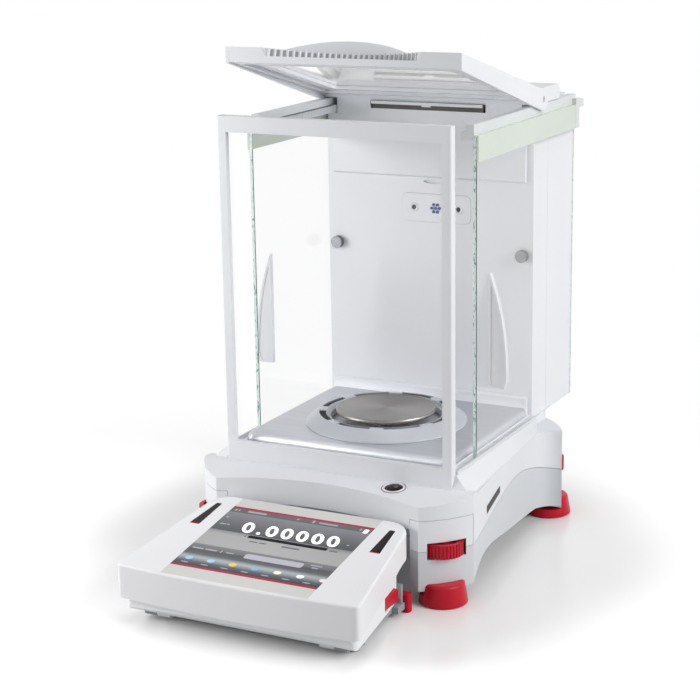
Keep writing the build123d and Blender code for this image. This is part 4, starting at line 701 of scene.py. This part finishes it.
class BALANCE_OT_metalwork(bpy.types.Operator):
    """Finish the screws, pins and inner metal, and shape the tray, the draft ring and the pan"""
    bl_idname = "balance.metalwork"
    bl_label = "Metalwork"

    def execute(self, context):
        looks = context.scene.balance_looks
        dress(brushed_metal("Turned steel", "#D3D3D2", "#A3A3A2", 90.0, 900.0, 0.22), "pan_support",
              "lid_hinge_pins", "base_fasteners", "calibration_weight")
        dress(brushed_metal("Knurled grey steel", "#8A8B8F", "#66676B", 90.0, 900.0, 0.3),
              "left_thumb_screw", "right_thumb_screw")
        dress(brushed_metal("Machined aluminium", "#CFD1D3", "#B4B6B9", 300.0, 300.0, 0.4), "load_cell",
              "calibration_fork")
        low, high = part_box("weighing_pan")
        centre = Vector(((low.x + high.x) / 2, (low.y + high.y) / 2, 0))
        self.tray(looks, centre)
        self.ring(looks, centre)
        mesh_piece("pan_dish", turned(PAN_SECTION, centre, sides=128),
                   turned_pan_steel("Spun stainless pan", centre), "pan", "pan_steel", "weighing_pan")
        return {"FINISHED"}

    def tray(self, looks, centre):
        """Pressed tray: flat top, edges rolled down, and a bore round the pan's stem."""
        steel = brushed_metal("Brushed stainless tray", "#C9CBD0", "#B9BCC2", 6.0, 700.0, 0.42)
        low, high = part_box("chamber_floor")
        half, top, roll = looks.tray_half, looks.tray_height, looks.tray_roll
        corner, least_corner, sheet, bore, roll_steps = 9 * MM, 1.5 * MM, 1.5 * MM, 24 * MM, 6

        def outline(inset, height):
            return rounded_outline((-half + inset, low.y + inset), (half - inset, high.y),
                                   max(corner - inset, least_corner), height, steps=12)

        loops = [outline(sheet, low.z), outline(0, low.z)]
        for step in range(roll_steps + 1):
            turn = math.radians(90 * step / roll_steps)
            loops.append(outline(roll * (1 - math.cos(turn)), top - roll * (1 - math.sin(turn))))
        turns = [math.atan2(point.y - centre.y, point.x - centre.x) for point in loops[-1]]
        for height in (top, top - sheet):
            loops.append([centre + Vector((bore * math.cos(turn), bore * math.sin(turn), height))
                          for turn in turns])
        loops.append(outline(roll + sheet, top - sheet))
        mesh_piece("pressed_tray", stacked(loops, closed=True), steel, "base", "steel_plate",
                   "chamber_floor")

    def ring(self, looks, centre):
        """Draft ring: a cone up to a flat band with slots, a lip at the bore, thin under the band."""
        enamel = moulded_plastic("Draft ring grey enamel", "#BFC3CA", roughness=0.3, coat=0.2)
        middle, width, sweep, steps = 50.6 * MM, 5.4 * MM, math.radians(33), 14
        slot_low, slot_high, first_slot = 101.5 * MM, 108 * MM, 40.0
        loops = []
        for height in (slot_low, slot_high):
            loop = []
            for radius, order in ((middle + width / 2, 1), (middle - width / 2, -1)):
                for step in range(steps + 1):
                    turn = order * sweep * (step / steps - 0.5)
                    loop.append(Vector((radius * math.cos(turn), radius * math.sin(turn), height)))
            loops.append(loop)
        count = looks.ring_slots
        slots = turned_copies(stacked(loops), enamel, count, start=first_slot, step=360.0 / count)
        ring = cut_out(turned(RING_SECTION, sides=160, closed=True), slots)
        ring.transform(Matrix.Translation(centre))
        mesh_piece("slotted_ring", ring, enamel, "draft ring", "grey_housing", "draft_ring")
        shade = moulded_plastic("Shade under the draft ring", "#2E2E31", roughness=0.7, gloss=0.1)
        mesh_piece("ring_shade", turned(RING_SHADE_SECTION, centre, sides=96, closed=True), shade,
                   "draft ring", "black_plastic")


class BALANCE_OT_trim(bpy.types.Operator):
    """Finish tabs, pads, windows and small dark parts, and shape wheels, feet, nozzles and lights"""
    bl_idname = "balance.trim"
    bl_label = "Trim"

    def execute(self, context):
        looks = context.scene.balance_looks
        red = moulded_plastic("Moulded red ABS", looks.accent_red, roughness=0.36, gloss=0.25)
        for place in ("front_left", "front_right", "rear_left", "rear_right"):
            self.foot(place, red)
            self.wheel(place, red)
        dress(red, "left_release_tab", "right_release_tab")
        dress(moulded_plastic("Red rubber pads", looks.accent_red, roughness=0.7, gloss=0.25),
              "stand_rear_pads")
        dress(infrared_window("Infrared acrylic"), "terminal_sensor_windows", "side_sensor_windows")
        # Black acetal is the pinions' own colour; the nozzle bores' and rack gaps' dark marks use it as
        # painted shade.
        black = moulded_plastic("Black acetal and painted shade", "#202226", roughness=0.4)
        dress(black, "left_door_pinion", "right_door_pinion")
        dress(moulded_plastic("Motor paint", "#54575B", roughness=0.4), "door_motors",
              "calibration_motor")
        dress(moulded_plastic("Circuit board green", "#1E5236", roughness=0.4), "main_board")
        dress(moulded_plastic("Touch film grey", "#DAD9D6", roughness=0.3, bump=0.02, gloss=0.3),
              "touch_panel")
        self.ioniser(black)
        self.painted_rack_shade(black)
        return {"FINISHED"}

    def foot(self, place, red):
        """The foot tapers to a lower, narrower top than its solid; the spindle stays."""
        low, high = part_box(f"{place}_foot")
        centre_x, centre_y = (low.x + high.x) / 2 / MM, (low.y + high.y) / 2 / MM
        solid_top, shown_top, taper = 21.2, 16.8, 0.13

        def shorten(x, y, z):
            if z > solid_top:
                return (x, y, z)
            height = z * shown_top / solid_top
            keep = 1 - taper * height / shown_top
            return (centre_x + (x - centre_x) * keep, centre_y + (y - centre_y) * keep, height)

        mesh_piece(f"{place}_foot_cap", reshaped(f"{place}_foot", shorten), red,
                   f"{place.replace('_', ' ')} foot", "red_moulding", f"{place}_foot")

    def wheel(self, place, red):
        """The wheel is a little smaller than its solid, so it stands back in its window."""
        low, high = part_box(f"{place}_wheel")
        centre = (low + high) / 2 / MM
        across, along = 0.92, 0.88

        def shrink(x, y, z):
            return (centre.x + (x - centre.x) * across, centre.y + (y - centre.y) * across,
                    centre.z + (z - centre.z) * along)

        mesh_piece(f"{place}_knurled_wheel", reshaped(f"{place}_wheel", shrink), red,
                   f"{place.replace('_', ' ')} wheel", "red_moulding", f"{place}_wheel")

    def ioniser(self, black):
        """Two pale nozzle collars with painted shade in their bores, and six light guides round a seventh.
        """
        low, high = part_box("ioniser_nozzles")
        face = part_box("ioniser_panel")[0].y
        pale = moulded_plastic("Nozzle white ABS", "#E6E7EA", roughness=0.3)
        upright = Matrix.Rotation(math.radians(90), 4, "X")
        # The dark cones set in the collars are painted shade of the bores.
        collar, bore = turned(COLLAR_SECTION, closed=True, sides=40), turned(BORE_SHADE_SECTION, sides=32)
        radius, level = (high.z - low.z) / 2, (high.z + low.z) / 2
        places = [Matrix.Translation((x, face, level)) @ upright
                  for x in (low.x + radius, high.x - radius)]
        for name, mesh, material, stands in (("nozzle_collars", collar, pale, ("ioniser_nozzles",)),
                                             ("nozzle_bores", bore, black, ())):
            pair = [mesh.copy(), mesh.copy()]
            for copy, place in zip(pair, places):
                copy.transform(place)
            mesh_piece(name, smoothed(joined(name, pair)), material, "base", "white_housing", *stands)
        blue = display_mark("Blue-grey light guides", "#56699B", 0.1)
        low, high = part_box("status_lights")
        stud = turned(GUIDE_SECTION, sides=20)
        middle = stud.copy()
        stud.transform(Matrix.Translation((GUIDE_PITCH, 0, 0)))
        lights = joined("lights", [turned_copies(stud, blue, 6, step=60.0), middle])
        place = ((low.x + high.x) / 2 - GUIDE_LEFT, face, (low.z + high.z) / 2)
        lights.transform(Matrix.Translation(place) @ upright)
        mesh_piece("light_guides", smoothed(lights), blue, "base", "blue_light", "status_lights")

    def painted_rack_shade(self, black):
        """Painted shade for the gaps between the rack's teeth: dark marks on the inner face of each door's
        rail.
        """
        pitch, count, first, level = 2.5 * MM, 36, 100 * MM, 336.1 * MM
        depth, width, height, round_by = 0.12 * MM, 0.75 * MM, 1.1 * MM, 0.1 * MM
        for side_name, side in (("left", -1), ("right", 1)):
            low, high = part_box(f"{side_name}_door_carrier")
            gap_shade = stacked([rounded_outline((-depth, -width), (depth, width), round_by, z, 2)
                           for z in (0, height)])
            gap_shades = turned_copies(gap_shade, black, count, offset=(0.0, -pitch, 0.0))
            gap_shades.transform(Matrix.Translation((high.x if side < 0 else low.x, first, level)))
            mesh_piece(f"{side_name}_rack_gaps", gap_shades, black, f"{side_name} door", "black_plastic")


class BALANCE_OT_lid_grip(bpy.types.Operator):
    """Paint shade where the gaps between the fins of the lid's finger grip are"""
    bl_idname = "balance.lid_grip"
    bl_label = "Lid grip"

    def execute(self, context):
        looks = context.scene.balance_looks
        hinge, opening = Vector((0, 120.5, 346.3)) * MM, math.radians(14.7)
        half, bulge, reach, end_margin = 65.0 * MM, 18.0 * MM, 168.0 * MM, 5.0 * MM
        radius = (half ** 2 + bulge ** 2) / (2 * bulge)
        forward = Vector((0, -math.cos(opening), math.sin(opening)))
        up = Vector((0, math.sin(opening), math.cos(opening)))
        # Grey slats across the lid's front face are painted shade where the grip's gaps are.
        shade = moulded_plastic("Painted shade in grip gaps", "#A6A7AB", roughness=0.6)
        half_width, inner, outer = 0.95 * MM, radius - 0.22 * MM, radius + 0.2 * MM
        gap_shade = stacked([rounded_outline((-half_width, inner), (half_width, outer), 0.15 * MM, height, 2)
                       for height in (1.6 * MM, 6.3 * MM)])
        half_turn = math.degrees(math.asin((half - end_margin) / radius))
        step = 2 * half_turn / looks.grip_gaps
        gap_shades = turned_copies(gap_shade, shade, looks.grip_gaps, start=-half_turn + step / 2, step=step)
        lid = Matrix((Vector((1, 0, 0)), -forward, up)).transposed().to_4x4()
        lid.translation = hinge + forward * (reach + radius - bulge)
        gap_shades.transform(lid)
        mesh_piece("grip_gaps", gap_shades, shade, "lid", "white_housing")
        return {"FINISHED"}


class BALANCE_OT_display(bpy.types.Operator):
    """Show the display's picture, the reading, its bar, the entry field and the key row"""
    bl_idname = "balance.display"
    bl_label = "Display"

    def execute(self, context):
        looks = context.scene.balance_looks
        panel = panel_matrix(looks)
        half, start, end = looks.screen_half, looks.screen_from, looks.screen_to

        def lay(name, mesh, material, height=0.0):
            mesh.transform(panel @ Matrix.Translation((0, 0, height)))
            return mesh_piece(name, mesh, material, "terminal", "touch_film")

        lay("screen_picture", rounded_plate((-half, start), (half, end), 0.3 * MM, 0.04 * MM),
            display_picture("Display picture"), 0.01 * MM)
        above = 0.05 * MM
        inks = {"white": display_mark("Display white", "#FBFBFC", 0.45),
                "dim": display_mark("Display dim white", "#A9A9B0", 0.2),
                "grey": display_mark("Display field grey", "#B9B8C2", 0.2),
                "black": display_mark("Display black", "#17181B", 0.0),
                "soft": display_mark("Display dark grey", "#77777B", 0.1)}
        for name, ink, places in DISPLAY_MARKS:
            plates = []
            for left, right, bottom, top in places:
                round_by = min(right - left, top - bottom) * 0.3
                plates.append(rounded_plate((left * MM, bottom * MM), (right * MM, top * MM),
                                            round_by * MM, 0.03 * MM))
            lay(name, joined(name, plates), inks[ink], above)

        reading = bpy.data.curves.new("reading", "FONT")
        size_to_height, lean, thicken, spacing = 1.36, -0.26, 0.62 * MM, 1.3
        reading.body, reading.align_x = "0.00000", "CENTER"
        reading.size = looks.digit_height * size_to_height
        reading.shear, reading.offset, reading.space_character = lean, thicken, spacing
        reading.extrude = 0.02 * MM
        digits = plain_mesh(linked("reading", reading))
        wide = [v.co.x for v in digits.vertices]
        stretch = looks.reading_width / (max(wide) - min(wide))
        left_end, base_line = -36.6 * MM, 73.9 * MM
        place = Matrix.Translation((left_end, base_line, 0)) @ Matrix.Diagonal((stretch, 1, 1, 1))
        digits.transform(place @ Matrix.Translation((-min(wide), 0, 0)))
        lay("reading_digits", digits, inks["white"], above + 0.02 * MM)

        keys = display_tiles("Display key tiles")
        row_left = -50.4 * MM
        rows = (("key_tiles", keys, 28.0, 2.9, (1.1, 0.85)),
                ("key_captions", inks["dim"], 21.6, 3.4, (1, 0.2)))
        for name, material, row, radius, stretch in rows:
            tiles = plain_mesh(geometry_holder(tile_row_tree(material),
                                               {"Count": looks.icon_count, "Pitch": looks.icon_pitch,
                                                "Radius": radius * MM, "Thickness": 0.04 * MM}))
            tiles.transform(Matrix.Translation((row_left, row * MM, 0)) @ Matrix.Diagonal((*stretch, 1, 1)))
            lay(name, tiles, material, above)

        red = display_mark("Window tip red", "#C22B3C", 0.0)
        for name, side in (("left_window_tip", -1), ("right_window_tip", 1)):
            inner, outer = sorted((side * 70.2 * MM, side * 78.4 * MM))
            tip = rounded_plate((inner, 74.3 * MM), (outer, 75.6 * MM), 0.3 * MM, 0.05 * MM)
            lay(name, tip, red, 0.02 * MM)
        return {"FINISHED"}


class BALANCE_OT_level(bpy.types.Operator):
    """Shape the level indicator: dark vial, pale collar, thin red line and the bubble"""
    bl_idname = "balance.level"
    bl_label = "Level indicator"

    def execute(self, context):
        looks = context.scene.balance_looks
        low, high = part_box("level_vial")
        centre = (low + high) / 2
        slope = Matrix.Rotation(LEVEL_SLOPE, 4, "X")
        place = Matrix.Translation((centre.x, centre.y, high.z - 0.4 * MM)) @ slope
        collar, vial = turned(LEVEL_COLLAR_SECTION, closed=True), turned(LEVEL_DOME_SECTION)
        line = turned(LEVEL_LINE_SECTION, closed=True)
        for mesh in (collar, vial, line):
            mesh.transform(place)
        mesh_piece("level_collar", collar, moulded_plastic("Pale collar ABS", "#DEE0E5", roughness=0.3),
                   "base", "white_housing", "level_holder")
        mesh_piece("level_dome", vial, infrared_window("Tinted vial"), "base", "vial_glass", "level_vial")
        mesh_piece("level_line", line, moulded_plastic("Maroon sealing ring", "#7E4A5A", roughness=0.5),
                   "base", "red_moulding")
        bm = bmesh.new()
        bmesh.ops.create_uvsphere(bm, u_segments=24, v_segments=12, radius=looks.bubble_radius)
        bmesh.ops.scale(bm, vec=(1, 1, 0.16), verts=bm.verts)
        drift = Matrix.Translation((1.4 * MM, 0.8 * MM, 0.5 * MM))
        bmesh.ops.transform(bm, matrix=place @ drift, verts=bm.verts)
        mesh_piece("level_bubble", smoothed(mesh_from(bm, "bubble")),
                   display_mark("Bubble in tinted fluid", "#5F545B", 0.0), "base", "vial_glass")
        return {"FINISHED"}


class BALANCE_OT_fasteners(bpy.types.Operator):
    """Set four screw heads into the back of the tower"""
    bl_idname = "balance.fasteners"
    bl_label = "Back screws"

    def execute(self, context):
        head = turned(SCREW_SECTION, sides=24)
        screw = linked("screw", head)
        steel = brushed_metal("Zinc-plated screw", "#C9CACC", "#9FA1A4", 400.0, 400.0, 0.3)
        heads = plain_mesh(geometry_holder(screw_pattern_tree(steel),
                                           {"Width": 140 * MM, "Height": 190 * MM, "Screw": screw}))
        bpy.data.objects.remove(screw)
        low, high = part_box("tower_rear")
        place = ((low.x + high.x) / 2, high.y - 0.9 * MM, (low.z + high.z) / 2)
        heads.transform(Matrix.Translation(place) @ Matrix.Rotation(math.radians(-90), 4, "X"))
        mesh_piece("tower_screws", smoothed(heads), steel, "base", "turned_steel")
        return {"FINISHED"}


class BALANCE_OT_stage(bpy.types.Operator):
    """Lay the floor, light the balance softly and set the camera"""
    bl_idname = "balance.stage"
    bl_label = "Stage"

    def execute(self, context):
        scene, looks = context.scene, context.scene.balance_looks
        self.floor(looks)
        self.surroundings(scene)
        for name, place, size, power in LAMPS:
            lamp = bpy.data.lights.new(name, "AREA")
            lamp.energy, lamp.size = power, size
            light = linked(name, lamp)
            light.location = place
            light.rotation_euler = (Vector(place) - LAMP_AIM).to_track_quat("Z", "Y").to_euler()
        self.camera(scene, looks)
        scene.view_settings.view_transform = "Standard"
        return {"FINISHED"}

    def seen(self, tree):
        """1 for rays from the camera and for what metal and glass show, 0 for light on the object."""
        path = add_node(tree, "ShaderNodeLightPath")
        first = add_node(tree, "ShaderNodeMath",
                         {0: path.outputs["Is Camera Ray"], 1: path.outputs["Is Transmission Ray"]},
                         operation="MAXIMUM")
        both = add_node(tree, "ShaderNodeMath", {0: first, 1: path.outputs["Is Glossy Ray"]},
                        operation="MAXIMUM")
        return both

    def floor(self, looks):
        """A white bench top that keeps the shadow near the balance, a painted glow growing away from it,
        and plain white beyond.
        """
        half = looks.floor_size / 2
        mesh = bpy.data.meshes.new("floor")
        mesh.from_pydata([(-half, -half, 0), (half, -half, 0), (half, half, 0), (-half, half, 0)], [],
                         [(0, 1, 2, 3)])
        floor = linked("floor", mesh)
        material, tree = new_material("White bench laminate")
        place = add_node(tree, "ShaderNodeTexCoord").outputs["Object"]
        seen = self.seen(tree)
        mottle = add_node(tree, "ShaderNodeTexNoise", {"Vector": place, "Scale": 3.0})
        tint = add_node(tree, "ShaderNodeValToRGB", {"Fac": mottle})
        set_ramp(tint.color_ramp, [(0.4, "#FBFAFA"), (0.6, "#FFFEFE")])
        distance = add_node(tree, "ShaderNodeVectorMath", {0: place}, operation="LENGTH").outputs["Value"]
        # A glow painted on the floor grows with distance from the balance, so the floor near it is painted
        # darker than further out.
        glow_from, glow_to, fade_from, fade_to = 0.18, 0.28, 0.28, 0.48
        painted_glow = add_node(tree, "ShaderNodeMapRange",
                        {"Value": distance, "From Min": glow_from, "From Max": glow_to, "To Min": 0.01,
                         "To Max": 0.25}, interpolation_type="SMOOTHSTEP")
        shown = add_node(tree, "ShaderNodeBsdfPrincipled",
                         {"Base Color": tint, "Roughness": 0.2, "Emission Color": linear("#FFFFFF"),
                          "Emission Strength": painted_glow})
        bounce = add_node(tree, "ShaderNodeBsdfDiffuse", {"Color": linear("#CCCCCC")})
        near = add_node(tree, "ShaderNodeMixShader", {0: seen, 1: bounce, 2: shown})
        plain = add_node(tree, "ShaderNodeEmission", {"Color": linear("#FFFFFF"), "Strength": 1.0})
        far = add_node(tree, "ShaderNodeMixShader", {0: seen, 1: bounce, 2: plain})
        fade = add_node(tree, "ShaderNodeMapRange",
                        {"Value": distance, "From Min": fade_from, "From Max": fade_to},
                        interpolation_type="SMOOTHSTEP")
        laid = add_node(tree, "ShaderNodeMixShader", {0: fade, 1: near, 2: far})
        add_node(tree, "ShaderNodeOutputMaterial", {"Surface": laid})
        mesh.materials.append(material)

    def surroundings(self, scene):
        """A soft grey room for light on the object, plain white for the camera."""
        world = bpy.data.worlds.new("studio")
        scene.world = world
        world.use_nodes = True
        tree = world.node_tree
        tree.nodes.clear()
        strength = add_node(tree, "ShaderNodeMapRange",
                            {"Value": self.seen(tree), "To Min": 0.24, "To Max": 1.0})
        sky = add_node(tree, "ShaderNodeBackground", {"Color": (1, 1, 1, 1), "Strength": strength})
        add_node(tree, "ShaderNodeOutputWorld", {"Surface": sky})

    def camera(self, scene, looks):
        """Stand the camera where the photo was taken from."""
        azimuth, elevation, roll = (math.radians(angle) for angle in CAMERA_ANGLES)
        back = Vector((math.sin(azimuth) * math.cos(elevation), -math.cos(azimuth) * math.cos(elevation),
                       math.sin(elevation)))
        right = Vector((0, 0, 1)).cross(back).normalized()
        up = back.cross(right)
        turned_right = math.cos(roll) * right + math.sin(roll) * up
        turned_up = -math.sin(roll) * right + math.cos(roll) * up
        matrix = Matrix((turned_right, turned_up, back)).transposed().to_4x4()
        matrix.translation = CAMERA_PLACE
        lens = bpy.data.cameras.new("photo")
        lens.lens, lens.sensor_width = looks.lens, SENSOR_WIDTH
        scene.camera = linked("photo", lens)
        scene.camera.matrix_world = matrix


class BALANCE_PT_sidebar(bpy.types.Panel):
    """Lists the balance's looks"""
    bl_idname = "BALANCE_PT_sidebar"
    bl_label = "Balance"
    bl_space_type = "VIEW_3D"
    bl_region_type = "UI"
    bl_category = "Balance"

    def draw(self, context):
        for name in BalanceLooks.__annotations__:
            self.layout.prop(context.scene.balance_looks, name)
        for operator in OPERATORS:
            self.layout.operator(operator.bl_idname)


OPERATORS = (BALANCE_OT_housings, BALANCE_OT_glazing, BALANCE_OT_metalwork, BALANCE_OT_trim,
             BALANCE_OT_lid_grip, BALANCE_OT_display, BALANCE_OT_level, BALANCE_OT_fasteners,
             BALANCE_OT_stage)
CLASSES = (BalanceLooks, *OPERATORS, BALANCE_PT_sidebar)


def register():
    for item in CLASSES:
        bpy.utils.register_class(item)
    bpy.types.Scene.balance_looks = PointerProperty(type=BalanceLooks)


def unregister():
    del bpy.types.Scene.balance_looks
    for item in reversed(CLASSES):
        bpy.utils.unregister_class(item)


def main():
    register()
    bpy.ops.balance.housings()
    bpy.ops.balance.glazing()
    bpy.ops.balance.metalwork()
    bpy.ops.balance.trim()
    bpy.ops.balance.lid_grip()
    bpy.ops.balance.display()
    bpy.ops.balance.level()
    bpy.ops.balance.fasteners()
    bpy.ops.balance.stage()


if __name__ == "__main__":
    main()
